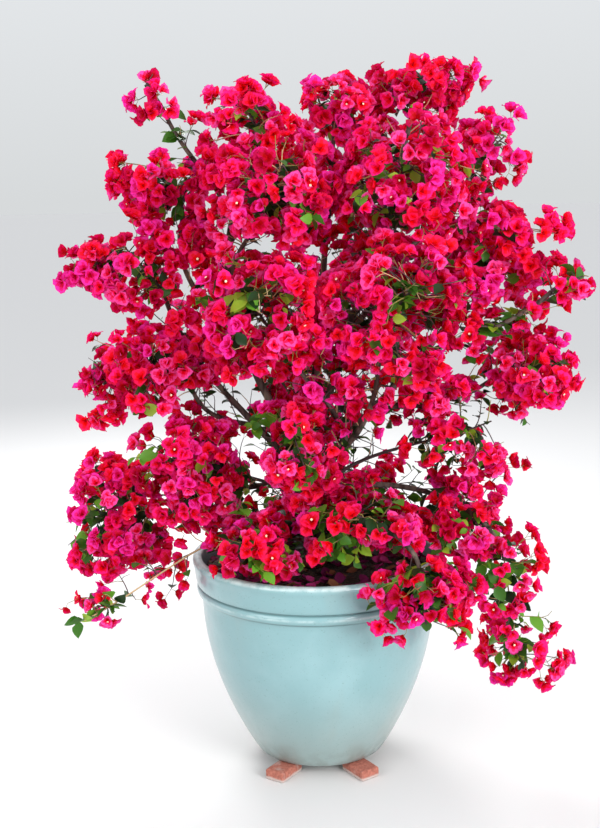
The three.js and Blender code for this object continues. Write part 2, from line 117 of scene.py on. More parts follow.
SAMPLE = 0.008
HEADING_STEP = 1e-4
LIMB_TAPER = 0.8
FLARE_FADE = 10
LIMB_ROOM = 0.009
ROOT_ROOM = 0.006
ROOT_GIRTHS = 2.2
FORK = 0.070
BENDS = (0, 0.08, 0.16, 0.26)
BEND_TURNS = 8
NEAR_BEND = 0.6
NEAR_HANDLE = 0.36
FAR_HANDLE = 0.34
HANG_OVER = 0.85
HANG_RISE = 0.7
PARENT_PULL = 0.7
GIRTH_SHARE = 0.8
TIP_SHARE = 0.5
LEAST_TIP_EXTRA = 0.0008
STEM_RADIUS = 0.0065
STEM_FOOT_EXTRA = 0.001
STEM_TIP_RADIUS = 0.005
ENTRY_REACH = 0.62
ENTRY_DEPTH = 0.014
END_REACH = 0.5
END_DEPTH = 0.030
PULL_STEP = 0.05
SPACE_SWELL = 1.12

UP = np.array((0.0, 0.0, 1.0))
GOLDEN_TURN = math.pi * (3 - math.sqrt(5))


@dataclass
class Mass:
    """A mass of blossom: its middle, its half sizes, the limb it grows from and how far along,
    and the girth of its own bough, or 0 where its stem rises straight from the trunk. A mass that
    hangs is reached over the top."""

    name: str
    at: tuple
    half: tuple
    grows_from: str
    along: float
    girth: float
    hang: bool = False
    walls: tuple = ()
    stem: object = None

    def __post_init__(self):
        self.at = np.array(self.at)
        self.half = np.array(self.half) * SPACE_SWELL

    def support(self, direction):
        return np.linalg.norm(direction * self.half)

    def holds(self, points, margin, beyond=0.0):
        points = np.atleast_2d(points)
        inside = np.linalg.norm((points - self.at) / (self.half + beyond), axis=1) <= 1
        normals, offsets = self.walls
        return inside & np.all(points @ normals.T < offsets - margin, axis=1)

    def pulled_inside(self, point, margin):
        for share in np.arange(1, 0, -PULL_STEP):
            trial = self.at + (point - self.at) * share
            if self.holds(trial, margin)[0] and pot_room(trial) > margin:
                return trial
        return self.at


SIDES = [
    Mass("crown_top_middle", (0.070, 0.010, 1.790), (0.120, 0.150, 0.105), "trunk", 0.97, 0.013),
    Mass("crown_top_left", (-0.155, -0.010, 1.765), (0.118, 0.150, 0.118), "trunk", 0.86, 0.013),
    Mass("crown_top_right", (0.290, 0.000, 1.842), (0.150, 0.150, 0.092), "trunk", 0.78, 0.013),
    Mass("shoulder_right", (0.478, 0.000, 1.680), (0.098, 0.150, 0.125), "crown_top_right", 0.55, 0.008),
    Mass("shoulder_left", (-0.382, 0.000, 1.605), (0.165, 0.145, 0.125), "crown_top_left", 0.45, 0.008),
    Mass("spray_top_left", (-0.405, 0.010, 1.842), (0.074, 0.080, 0.076), "crown_top_left", 0.8, 0.007),
    Mass("arm_left_high", (-0.456, -0.020, 1.392), (0.222, 0.150, 0.112), "trunk", 0.68, 0.012),
    Mass("arm_left_middle", (-0.446, -0.030, 1.128), (0.222, 0.160, 0.142), "arm_left_high", 0.35, 0.008),
    Mass("side_right_high", (0.480, 0.000, 1.395), (0.185, 0.175, 0.160), "trunk", 0.7, 0.012),
    Mass("spray_right", (0.648, -0.205, 1.345), (0.072, 0.080, 0.066), "side_right_high", 0.72, 0.007),
    Mass("arm_right", (0.570, -0.040, 1.090), (0.158, 0.150, 0.122), "side_right_high", 0.4, 0.008),
    Mass("side_right_low", (0.392, -0.100, 0.940), (0.158, 0.165, 0.140), "trunk", 0.6, 0),
    Mass("skirt_left", (-0.330, -0.050, 0.850), (0.160, 0.175, 0.180), "trunk", 0.5, 0),
    Mass("skirt_left_far", (-0.572, 0.040, 0.690), (0.145, 0.160, 0.175), "trunk", 0.62, 0.010),
    Mass("skirt_right", (0.384, -0.050, 0.684), (0.158, 0.165, 0.118), "trunk", 0.44, 0),
    Mass("trail_left", (-0.560, -0.170, 0.492), (0.140, 0.084, 0.066), "trunk", 0.3, 0),
    Mass("trail_right", (0.532, -0.095, 0.432), (0.120, 0.118, 0.222), "trunk", 0.52, 0.009, True),
]

FRONT = [
    Mass("front_middle_right", (0.205, -0.310, 1.285), (0.190, 0.175, 0.175), "trunk", 0.74, 0.012),
    Mass("front_upper_left", (-0.100, -0.230, 1.590), (0.168, 0.165, 0.148), "crown_top_left", 0.62, 0.008),
    Mass("front_upper_right", (0.230, -0.230, 1.610), (0.178, 0.165, 0.152), "crown_top_right", 0.42, 0.008),
    Mass("front_middle_left", (-0.135, -0.290, 1.290), (0.172, 0.175, 0.158), "front_middle_right",
         0.42, 0.008),
    Mass("front_low_left", (-0.050, -0.255, 0.945), (0.122, 0.150, 0.140), "trunk", 0.55, 0),
    Mass("front_low", (0.112, -0.225, 0.735), (0.152, 0.160, 0.108), "trunk", 0.36, 0),
]

RIM = [
    Mass("rim_spray_left", (-0.178, -0.240, 0.680), (0.105, 0.095, 0.076), "trunk", 0.24, 0),
    Mass("rim_spray_right", (0.258, -0.378, 0.574), (0.136, 0.078, 0.110), "trunk", 0.26, 0.007, True),
]


def behind(near):
    """The far side answers the near side, which keeps the crown's gaps open right through it."""
    higher = near.along + (0.06 if near.grows_from == "trunk" else 0.1)
    source = near.grows_from.replace("front", "back")
    at = near.at * (1, -1, 1)
    return Mass(near.name.replace("front", "back"), at, near.half / SPACE_SWELL, source, higher, near.girth)


MASSES = [*SIDES, *FRONT, *map(behind, FRONT), *RIM]


def unit(vector):
    return vector / np.linalg.norm(vector)


def pot_room(points):
    """How far points are from the pot and its soil, negative inside them."""
    points = np.asarray(points)
    radius = np.hypot(points[..., 0], points[..., 1])
    height = points[..., 2]
    outside = radius - LIP_RADIUS
    over = np.hypot(np.maximum(np.maximum(INNER_LIP_RADIUS - radius, outside), 0), height - POT_TOP)
    within = np.minimum(INNER_LIP_RADIUS - THROAT_ROOM - radius, height - SOIL_TOP)
    return np.where(height >= POT_TOP, over, np.where(radius > INNER_LIP_RADIUS, outside, within))


# Limbs: each is a curve with a radius along it, grown by the same rule as the solids

def bezier(controls, t):
    a, b, c, d = controls
    t = np.asarray(t)[..., None]
    s = 1 - t
    return s**3 * a + 3 * s**2 * t * b + 3 * s * t**2 * c + t**3 * d


class Limb:
    # even values of a curve's t, close enough to measure its run
    EVEN = np.linspace(0, 1, 201)

    def __init__(self, controls, root, tip, flare=0.0, gnarl=0.0):
        self.controls = np.array(controls)
        self.root, self.tip, self.flare = root, tip, flare
        path = bezier(self.controls, Limb.EVEN)
        self.run = np.append(0, np.cumsum(np.linalg.norm(np.diff(path, axis=0), axis=1)))
        self.length = self.run[-1]
        self.shares = np.linspace(0, 1, math.ceil(self.length / SAMPLE) + 1)
        self.points = self.at(self.shares)
        self.radii = self.radius(self.shares) * (1 + gnarl)

    def t_of(self, share):
        return np.interp(np.asarray(share) * self.length, self.run, Limb.EVEN)

    def at(self, share):
        return bezier(self.controls, self.t_of(share))

    def radius(self, share):
        taper = self.root + (self.tip - self.root) * np.asarray(share) ** LIMB_TAPER
        return taper + self.flare * np.exp(-FLARE_FADE * np.asarray(share))

    def heading(self, share):
        t = float(self.t_of(share))
        ends = bezier(self.controls, np.clip((t - HEADING_STEP, t + HEADING_STEP), 0, 1))
        return unit(ends[1] - ends[0])


limbs = {}


@dataclass
class Root:
    """What a limb grows from, and the limb that it passes over when it looks for room."""

    name: str
    radius: float
    skip: str = ""


def least_room(limb, root):
    clear_of_root = ROOT_GIRTHS * (root.radius + limb.root) + ROOT_ROOM
    reach = limb.shares * limb.length
    free = reach > clear_of_root
    room = np.min(pot_room(limb.points[free]) - limb.radii[free], initial=np.inf)
    for name, other in limbs.items():
        if name == root.skip:
            continue
        beyond = reach >= (clear_of_root if name == root.name else FORK)
        if beyond.any():
            apart = np.linalg.norm(limb.points[beyond, None] - other.points[None], axis=2)
            gaps = apart - other.radii[None] - limb.radii[beyond, None]
            room = min(room, gaps.min())
    return room


def across(direction, turn):
    """A direction square to this one, at a turn about it."""
    helper = UP if abs(direction[2]) < 0.9 else np.array((1.0, 0.0, 0.0))
    first = unit(np.cross(direction, helper))
    return first * math.cos(turn) + np.cross(direction, first) * math.sin(turn)


def grow_clear(start, aim, end, arrive, radii, root):
    """Tries the plain curve first, then bends it aside until it has room enough."""
    span = np.linalg.norm(end - start)
    direction = unit(end - start)
    best, best_room = None, -np.inf
    for amount in BENDS:
        for turn in range(BEND_TURNS if amount else 1):
            aside = across(direction, turn * math.tau / BEND_TURNS) * amount * span
            near = start + aim * span * NEAR_HANDLE + aside * (0 if root.skip else NEAR_BEND)
            far = end - arrive * span * FAR_HANDLE + aside
            limb = Limb((start, near, far, end), *radii)
            room = least_room(limb, root)
            if room > best_room:
                best, best_room = limb, room
            if best_room > LIMB_ROOM:
                return best
    return best


def grow_trunk():
    foot = np.array((0, 0, SOIL_TOP + CLEARANCE))
    tip = foot + (*TRUNK_LEAN, TRUNK_HEIGHT)
    near = foot + UP * TRUNK_HEIGHT * TRUNK_HANDLE
    far = tip + (*TRUNK_SWAY, -TRUNK_HEIGHT * TRUNK_HANDLE)
    return Limb((foot, near, far, tip), TRUNK_ROOT_RADIUS, TRUNK_TIP_RADIUS, TRUNK_FLARE, TRUNK_GNARL)


def raise_walls(masses):
    """Cuts every mass's ellipsoid by a plane against each of the others."""
    for mass in masses:
        normals, offsets = [], []
        for other in masses:
            if other is not mass:
                towards = other.at - mass.at
                distance = np.linalg.norm(towards)
                towards = towards / distance
                own, its = mass.support(towards), other.support(towards)
                normals.append(towards)
                offsets.append(mass.at @ towards + distance * own / (own + its))
        mass.walls = np.array(normals), np.array(offsets)


def grow_bough_and_stem(mass):
    parent = limbs[mass.grows_from]
    start = parent.at(mass.along)
    backwards = unit(start - mass.at)
    if mass.hang:
        backwards = unit(backwards + (UP - backwards) * HANG_OVER)
    support = mass.support(backwards)
    entry = mass.pulled_inside(mass.at + backwards * support * ENTRY_REACH, ENTRY_DEPTH)
    far_end = mass.pulled_inside(mass.at - backwards * support * END_REACH, END_DEPTH)
    inwards = unit(far_end - entry)
    aim = unit(parent.heading(mass.along) * PARENT_PULL + unit(mass.at - start))
    if mass.hang:
        aim = unit(aim + UP * HANG_RISE)
    root = Root(mass.grows_from, float(parent.radius(mass.along)))
    if not mass.girth:
        radii = (STEM_RADIUS + STEM_FOOT_EXTRA, STEM_TIP_RADIUS)
        mass.stem = grow_clear(start, aim, far_end, inwards, radii, root)
    else:
        girth = min(mass.girth, root.radius * GIRTH_SHARE)
        tip = max(STEM_TIP_RADIUS + LEAST_TIP_EXTRA, girth * TIP_SHARE)
        bough = grow_clear(start, aim, entry, inwards, (girth, tip), root)
        limbs[mass.name] = bough
        onwards = bough.heading(1)
        near_tip = Root(mass.name, 0, skip=mass.name)
        stem_start = entry + onwards * CLEARANCE
        mass.stem = grow_clear(stem_start, onwards, far_end, inwards, (tip, STEM_TIP_RADIUS), near_tip)
    limbs["stem_" + mass.name] = mass.stem


raise_walls(MASSES)
limbs["trunk"] = grow_trunk()
for mass in MASSES:
    grow_bough_and_stem(mass)


# Sprays: what grows on from the limbs, held in the same spaces as the solids

# Room that florets and shoots keep free, and how far a floret may stand out of its mass
FLORET_ROOM = 0.032
SHOOT_ROOM = 0.014
POT_ROOM_SHARE = 0.8
OVER_WALLS = 0.008
OVER_SURFACE = 0.010

# Sprays over a mass, the lumps that they make, and the holes and small chinks between them
SPRAY_AREA = 0.0052
FEWEST_SPRAYS = 6
SPRAY_DRIFT = 0.014
SPRAY_WALL_ROOM = 0.006
PULLED_FAR = 0.03
PULLED_FAR_SKIP = 0.35
LUMP_SIZE = 0.085
LUMP_DEPTH = 0.13
HOLE_SIZE = 0.095
SHOOT_HOLE_LEVEL = -0.26
CHINK_SIZE = 0.034
CHINK_LEVEL = -0.15

# The run of a spray's main twig, from its stem to near the surface
TWIG_HANDLE = 0.3
SPRAY_HANDLE = 0.36
SHORTEST_TWIG = 0.02
TWIG_LEAD = 0.35
STEM_PULL = 0.45
GOAL_PULL = 0.8
SKY_PULL = 0.2
START_STRAY = 0.18
OUTWARD_PULL = 0.4
DROOP = 0.12
TRAILING_DROOP = 0.55
END_STRAY = 0.15

# Side twigs and florets
OUTER_SHARE = 0.55
SIDE_SPACING = 0.020
SIDE_LENGTH = (0.026, 0.062)
SIDE_AHEAD = 0.5
SIDE_ASIDE = 0.85
SIDE_OUT = 0.25
SIDE_UP = 0.15
SIDE_COUNTS = (2, 3, 3, 4)
BARE_TWIGS = 0.3
YOUNG_SIDES = 0.5
CLUSTER_LEAN = (0.4, 1.0)
SINGLE_LEAN = 0.15
FLORET_OUT = 0.25
FLORET_UP = 0.2
FLORET_STRAY = 0.22
FLORET_SIZE = (0.66, 1.02)
FLORET_REACH = 0.012
SAME_TINT = 0.72
PEDICEL = 0.015

# Leaves along a spray
LEAF_SPACING = 0.021
LEAF_RUN = (0.1, 0.97)
LEAF_REACH = 0.02
LEAF_SIZES = (0.55, 0.75, 0.95, 1.15)
LEAF_SIZE_WEIGHTS = (4, 5, 3, 1)
LEAF_SIZE_SPREAD = (0.85, 1.1)
# how much lighter green the leaves are in shade and by light: partly fresh young leaves and partly painted
# light and shade
FRESH_AND_LIT_IN_SHADE = 0.12
FRESH_AND_LIT_BY_LIGHT = 0.4

# Shoots with small leaves, and the sprays and leafy tips that are given a place of their own
TIPPED_SHOOTS = 0.75
BARE_SHOOT_LENGTH = 0.5
SHOOT_HANDLE = 0.4
SHOOT_ASIDE = 0.8
SHOOT_UP = 0.2
SHOOT_RISE = (-0.3, 0.35)
SHOOT_STRAY = 0.15
SHOOT_END_STRAY = 0.5
SHOOT_COUNTS = (1, 2, 2, 3)
SHOOT_LEAF_SPACING = 0.03
SHOOT_LEAVES_FROM = 0.35
SHOOT_LEAF_SIZE = (0.5, 0.95)
SHOOT_LIGHT = 0.2
SHOOT_FLORETS_FROM = 0.55
BRIDGE_LENGTH = 0.070
BRIDGE_SHARE = 0.8
BRIDGE_SPRAYS = 2
BRIDGE_DRIFT = 0.020
BRIDGE_RISE = 0.4
LEAFY_TIP_LENGTH = 0.075
TIP_RISE = 0.3
TIP_LEAF_SPACING = 0.009
TIP_LEAF_SIZE = (0.6, 1.1)
TIP_LEAF_KINDS = (0, 1, 1, 2, 2)
TIP_POT_ROOM = 0.01

# Radii at the root and tip of twigs, and how many points their lines have
PRIMARY_RADIUS = (0.0021, 0.0011)
SIDE_RADIUS = (0.0012, 0.0008)
SHOOT_RADIUS = (0.0020, 0.0008)
STEM_END_RADIUS = 0.0024
TRAIL_STEM_SHARE = 0.45
TWIG_POINTS = 7
SHOOT_POINTS = 6
STEM_POINTS = 12

OLD_BARK, TAN_BARK, YOUNG_BARK = 0, 1, 2
TWIG_BARKS = (6, 3, 2)
SHOOT_BARKS = (4, 1)

# The tables below are read by the first of their words that a mass's name holds, "" being any other.
REGIONS = {
    "rim": "rim",
    "front": "front",
    "back": "back",
    "top": "top",
    "shoulder": "top",
    "left": "left",
    "right": "right",
}

# How many sprays a mass has, and how far below its surface they end
FULLNESS = {
    "trail_right": 0.6,
    "trail_left": 0.36,
    "spray_top_left": 0.7,
    "rim_spray_right": 1.7,
    "rim": 1.5,
    "arm_left": 1.1,
    "shoulder_left": 1.0,
    "": 0.98,
}
SPRAY_DEPTHS = {
    "arm_left": (0.050, 0.120),
    "shoulder": (0.035, 0.100),
    "skirt_left_far": (0.010, 0.080),
    "spray": (0.015, 0.065),
    "front_middle": (0.000, 0.090),
    "front_low": (0.000, 0.090),
    "": (0.015, 0.100),
}

# How readily holes open in a mass, how many leaves it has, and how much light they get, which paints its
# leaves a lighter green
HOLE_LEVELS = {"spray": -1, "trail": -1, "skirt": -0.30, "low": -0.19, "arm": -0.18, "": -0.20}
LEAFINESS = {"trail": 0.75, "skirt": 0.45, "rim_spray": 0.85, "low": 0.75, "top": 0.25, "": 0.33}
SUNLIT = {"trail": 0.7, "rim": 0.8, "skirt": 0.3, "": 0.0}

# Open places in the crown, as the viewer sees them: across, up and radius. They run away from the
# viewer, so that daylight shows right through.
VIEWER = np.array((-0.0400, -3.2506, 1.5753))
GAPS = [
    # between the left arms and the middle
    (-0.13, 1.45, 0.048), (-0.44, 1.25, 0.027), (-0.34, 1.05, 0.036), (-0.27, 1.02, 0.038),
    (-0.19, 1.04, 0.050), (-0.14, 0.91, 0.045), (-0.22, 0.76, 0.028), (-0.10, 0.78, 0.025),
    # between the middle and the right side
    (0.01, 0.65, 0.028), (0.12, 0.88, 0.052), (0.26, 0.78, 0.060), (0.44, 0.97, 0.045),
    (0.52, 0.93, 0.055),
    # over the pot's mouth and rim
    (0.05, 0.57, 0.042), (0.12, 0.57, 0.040), (0.08, 0.44, 0.060), (0.13, 0.39, 0.038),
    (0.30, 0.35, 0.050),
    # down the crown's left edge
    (-0.35, 1.75, 0.040), (-0.54, 1.53, 0.028), (-0.71, 1.41, 0.055), (-0.61, 1.33, 0.036),
    (-0.66, 1.02, 0.042), (-0.69, 0.82, 0.042), (-0.51, 0.41, 0.044),
    # down its right edge
    (0.58, 1.75, 0.032), (0.61, 1.54, 0.028), (0.60, 0.98, 0.033), (0.64, 0.64, 0.039),
    (0.66, 0.43, 0.055), (0.68, 0.30, 0.034), (0.43, 0.22, 0.060),
]

# Where sprays of blossom close the joints between the masses
BRIDGES = [
    # left shoulder and arms
    (-0.33, 0.00, 1.50), (-0.40, -0.02, 1.47), (-0.47, -0.03, 1.31), (-0.34, -0.10, 1.27),
    (-0.27, -0.16, 1.18),
    # under the front of the crown
    (0.14, -0.27, 1.08), (0.07, -0.30, 1.11),
    # right side and skirt
    (0.47, -0.14, 1.23), (0.55, -0.16, 1.28), (0.52, -0.05, 0.85), (0.41, -0.10, 0.77),
    # left skirt, and the tip of the right trail
    (-0.47, -0.05, 0.55), (-0.56, -0.05, 0.54), (-0.39, -0.10, 0.62), (0.63, -0.10, 0.29),
    # between the front and the top
    (0.53, 0.00, 1.64), (-0.03, -0.10, 1.72), (-0.02, -0.22, 1.41),
    # right side again, where four masses meet
    (0.62, -0.08, 1.46), (0.59, -0.05, 1.24), (0.38, -0.25, 1.21), (0.50, -0.14, 1.27),
    # single thin places of the front and the left
    (-0.07, -0.32, 1.60), (0.17, -0.25, 1.06), (-0.57, -0.05, 1.02), (-0.37, -0.08, 1.50),
    (-0.27, -0.12, 1.49), (0.21, -0.34, 1.41), (0.26, -0.36, 1.34),
]

# Where young shoots without blossom end, in tufts of fresh leaves
LEAFY_TIPS = [
    # low in front, and over the rim
    (-0.04, -0.36, 0.87), (0.00, -0.36, 0.90), (0.33, -0.20, 0.65), (0.44, -0.15, 0.59),
    (0.41, -0.15, 0.53), (-0.14, -0.33, 0.64), (0.01, -0.30, 0.71), (0.19, -0.38, 0.64),
    (0.26, -0.40, 0.63), (0.37, -0.24, 0.62), (0.47, -0.18, 0.54),
    # left skirt, and high in front
    (-0.64, -0.05, 0.61), (-0.48, -0.12, 0.90), (-0.16, -0.38, 1.33), (0.00, -0.34, 1.52),
    (-0.29, -0.14, 1.32),
    # at the ends of the trails
    (-0.56, -0.17, 0.50), (-0.65, -0.17, 0.46), (0.54, -0.10, 0.34),
    # over the soil, and in the open middle of the crown
    (-0.05, -0.28, 0.65), (0.04, -0.28, 0.66), (0.09, -0.28, 0.65), (-0.17, -0.10, 0.97),
    (-0.12, -0.10, 1.01), (0.09, -0.10, 0.90), (0.21, -0.20, 0.80), (0.00, -0.30, 0.79),
    (-0.20, -0.20, 0.79), (-0.04, -0.25, 0.94), (-0.46, -0.10, 1.02), (-0.41, -0.05, 1.33),
    # on bare twigs of the front, and along the boughs of the outer sprays
    (0.22, -0.32, 1.32), (0.24, -0.34, 1.36), (0.19, -0.34, 1.28), (0.48, -0.10, 1.24),
    (0.53, -0.10, 1.26), (-0.33, 0.00, 1.75), (-0.36, -0.02, 1.80), (0.43, -0.12, 1.22),
]

# The body of a bract, its tip, which is pinker and partly a painted highlight, and how often the tint is
# dealt out
TINTS = {
    "crimson": ((230, 0, 16), (252, 32, 134), 5),
    "hot_pink": ((240, 0, 44), (255, 80, 172), 3.5),
    "magenta": ((216, 0, 72), (248, 50, 172), 2),
    # wine is a darker copy of the crimson that stands in for shaded florets: painted shade, dealt out at
    # random like the other tints
    "wine": ((180, 0, 10), (210, 6, 84), 2.5),
    "cherry": ((234, 2, 0), (250, 28, 92), 4),
}
TINT_WEIGHTS = [weight for *_, weight in TINTS.values()]
# the heart of a bract: a redder red, darkened as painted shade in the floret's hollow
HEART_AND_SHADE = (186, 0, 16)
FLOWER = (250, 236, 206)
# leaf greens from lime to deep: the lighter ones partly young leaves and partly painted light, the deep one
# painted shade
LEAF_TINTS = {"lime": (158, 196, 58), "fresh": (100, 160, 44), "mid": (58, 110, 30), "deep": (26, 58, 20)}
BARK_TINTS = {"old": (82, 64, 68), "tan": (198, 164, 122), "young": (140, 132, 66)}


@dataclass
class Form:
    """How a floret's three bracts stand: the angle off its axis at their base and tip, and their cup."""

    base_angle: float
    tip_angle: float
    cup: float
    flower: bool
    weight: float


FLORET_FORMS = [
    Form(0.42, 1.50, 0.22, True, 0.7),
    Form(0.36, 1.42, 0.26, False, 3),
    Form(0.50, 1.62, 0.18, False, 2),
    Form(0.28, 1.05, 0.36, False, 2.5),
]
FORM_WEIGHTS = [form.weight for form in FLORET_FORMS]


@dataclass
class LeafStance:
    """How leaves stand on a twig: how far they point along it, aside and outwards, and how far they
    face the sky and outwards, and stray."""

    ahead: float
    outward: float
    to_sky: float
    to_open: float
    stray: float
    aside: float = 1


ON_SPRAYS = LeafStance(0.5, 0.3, 0.8, 0.7, 0.35, aside=0.9)
ON_SHOOTS = LeafStance(0.6, 0, 1, 0, 0.4)
ON_TIPS = LeafStance(0.5, 0, 0.6, 0.6, 0.3)


@dataclass
class Habit:
    """Where side shoots stand along a limb, and how leafy, long and upright they are."""

    first: float = 0.12
    last: float = 0.95
    spacing: float = 0.022
    leafy: float = 0.6
    lengths: tuple = (0.06, 0.20)
    rise: float = 0.7


ON_BOUGHS = Habit(first=0.03)
ON_SPRAY_BOUGHS = Habit(first=0.03, lengths=(0.03, 0.09))
ON_STEMS = Habit(last=0.7, spacing=0.03)
ON_TRUNK = Habit(first=0.2, spacing=0.008, leafy=0.8)
ROUND_TRUNK_FOOT = Habit(first=0.05, last=0.4, spacing=0.0018, leafy=0.8, lengths=(0.12, 0.27), rise=0.1)


@dataclass
class Growth:
    """What one region of the crown has grown: lines of twigs, and places of florets and leaves."""

    nodes: list = field(default_factory=list)
    twigs: list = field(default_factory=list)
    florets: list = field(default_factory=list)
    leaves: list = field(default_factory=list)


@dataclass
class Spray:
    """What the twigs of a spray share: its mass, if it has one, the growth that it adds to, the way
    out of the crown, and its dice."""

    mass: Mass
    growth: Growth
    outward: np.ndarray
    dice: random.Random


def by_name(name, table):
    return next(value for word, value in table.items() if word in name)


def pick(dice, weights):
    """An index, drawn by these weights."""
    return dice.choices(range(len(weights)), weights)[0]


def evenly_round(count, start):
    """Directions spread evenly over a ball."""
    index = np.arange(count)
    height = 1 - (2 * index + 1) / count
    ring = np.sqrt(1 - height**2)
    turn = start + index * GOLDEN_TURN
    return np.column_stack((ring * np.cos(turn), ring * np.sin(turn), height))


def surface_of(mass):
    """The area of the mass's ellipsoid, by the usual approximation, whose power is about 1.6."""
    x, y, z = mass.half
    return 4 * math.pi * (((x * y) ** 1.6 + (x * z) ** 1.6 + (y * z) ** 1.6) / 3) ** (1 / 1.6)


def scatter(dice):
    return np.array((dice.gauss(0, 1), dice.gauss(0, 1), dice.gauss(0, 1)))


def in_reach(point, room):
    """Whether a point has this much room to the sides of the solids' box and to the pot."""
    low, high = (np.array(corner) for corner in solid_box)
    in_box = np.all(point > low + room) and np.all(point < high - room)
    return in_box and pot_room(point) > room * POT_ROOM_SHARE


def fits(mass, point):
    """Whether a floret has room at a point, and keeps in its mass, if it has one."""
    return in_reach(point, FLORET_ROOM) and (mass is None or mass.holds(point, -OVER_WALLS, OVER_SURFACE)[0])


def as_seen(point):
    """Where the line of sight through a point crosses the plane of the trunk, and its depth."""
    across_plane = VIEWER + (point - VIEWER) * VIEWER[1] / (VIEWER[1] - point[1])
    return across_plane[0], point[1], across_plane[2]


def is_open(point, size, level):
    """Whether a point lies in one of the crown's gaps, large or small."""
    x, depth, z = as_seen(point)
    if any(math.hypot(x - gap_x, z - gap_z) < radius for gap_x, gap_z, radius in GAPS):
        return True
    return noise.noise(Vector((x / size, depth, z / size))) < level


def turned_to(forward, normal):
    """The turn that brings Z to the normal, and Y as near forward as it can."""
    normal = unit(normal)
    sideways = unit(np.cross(forward, normal))
    onward = np.cross(normal, sideways)
    return Matrix((sideways, onward, normal)).transposed().to_quaternion()


def twig_curve(start, heading, end, arrival, span, handle=TWIG_HANDLE):
    """The controls of a twig that sets off by one direction and arrives by another."""
    return start, start + heading * span * handle, end - arrival * span * TWIG_HANDLE, end


def draw_twig(growth, twig, count, bark):
    """Adds a twig's line of points and radii to what has grown."""
    points = bezier(twig.controls, np.linspace(0, 1, count))
    growth.twigs.append((points, np.linspace(twig.root, twig.tip, count), bark))


def leaf_on(twig, along, turn, outward, stance, dice):
    """Where a leaf sits on a twig, the way that it points, and how it is turned."""
    axis = twig.heading(along)
    aside = across(axis, turn) * stance.aside
    forward = unit(axis * stance.ahead + aside + outward * stance.outward * along)
    normal = UP * stance.to_sky + outward * stance.to_open + scatter(dice) * stance.stray
    return twig.at(along), forward, turned_to(forward, normal)


def leaf_kind(dice, light):
    """Leaves are deep green inside the crown as painted shade, and lighter green towards the light, partly
    as fresh young leaves and partly as painted light.
    """
    fresh = min(1.0, FRESH_AND_LIT_IN_SHADE + FRESH_AND_LIT_BY_LIGHT * light)
    # the weights of lime, fresh and lit, mid and deep green
    return pick(dice, (fresh * 0.4, fresh * 0.6, 0.45, 1.1 - fresh))


def grow_cluster(spray, tip, axis, tint, count):
    """Florets round the tip of a twig, as many of them as find room there."""
    dice, florets = spray.dice, spray.growth.florets
    before = len(florets)
    turn = dice.uniform(0, math.tau)
    for step in range(count):
        lean = dice.uniform(*CLUSTER_LEAN) if count > 1 else SINGLE_LEAN
        around = across(axis, turn + step * math.tau / count)
        drift = spray.outward * FLORET_OUT + UP * FLORET_UP + scatter(dice) * FLORET_STRAY
        facing = unit(axis * math.cos(lean) + around * math.sin(lean) + drift)
        size = dice.uniform(*FLORET_SIZE)
        base = tip + facing * PEDICEL * size
        if fits(spray.mass, base + facing * FLORET_REACH) and not is_open(base, CHINK_SIZE, CHINK_LEVEL):
            own_tint = tint if dice.random() < SAME_TINT else pick(dice, TINT_WEIGHTS)
            kind = own_tint * len(FLORET_FORMS) + pick(dice, FORM_WEIGHTS)
            turned = turned_to(across(facing, dice.uniform(0, math.tau)), facing)
            florets.append((base, turned, size, kind))
    return len(florets) - before


def grow_blossom(spray, twig, outer):
    """Draws a twig, with short side twigs over its outer part, which all end in florets."""
    dice, growth, outward = spray.dice, spray.growth, spray.outward
    bark = pick(dice, TWIG_BARKS)
    draw_twig(growth, twig, TWIG_POINTS, bark)
    tint = pick(dice, TINT_WEIGHTS)
    turn = dice.uniform(0, math.tau)
    for step in range(max(1, round(outer / SIDE_SPACING))):
        along = max(0.0, 1 - step * SIDE_SPACING / twig.length)
        point, axis = twig.at(along), twig.heading(along)
        turn += GOLDEN_TURN
        count = dice.choice(SIDE_COUNTS)
        if step == 0:
            grow_cluster(spray, point, axis, tint, count)
            continue
        aside = across(axis, turn)
        side = unit(axis * SIDE_AHEAD + aside * SIDE_ASIDE + outward * SIDE_OUT + UP * SIDE_UP)
        length = dice.uniform(*SIDE_LENGTH)
        tip = point + side * length
        grown = grow_cluster(spray, tip, side, tint, count)
        if grown or (dice.random() < BARE_TWIGS and in_reach(tip, SHOOT_ROOM)):
            bend = point + unit(side + axis * SIDE_AHEAD) * length / 2
            side_bark = YOUNG_BARK if dice.random() < YOUNG_SIDES else bark
            growth.twigs.append((np.array((point, bend, tip)), np.linspace(*SIDE_RADIUS, 3), side_bark))


def twig_root(mass, goal):
    """How far along its stem, and where, a twig leaves it: a little before the stem is nearest."""
    stem = mass.stem
    own = np.flatnonzero(mass.holds(stem.points, 0))
    if not len(own):
        own = np.array((len(stem.points) - 1,))
    apart = np.linalg.norm(stem.points[own] - goal, axis=1)
    nearest = int(apart.argmin())
    index = own[max(0, nearest - int(TWIG_LEAD * apart[nearest] / SAMPLE))]
    return stem.shares[index], stem.points[index]


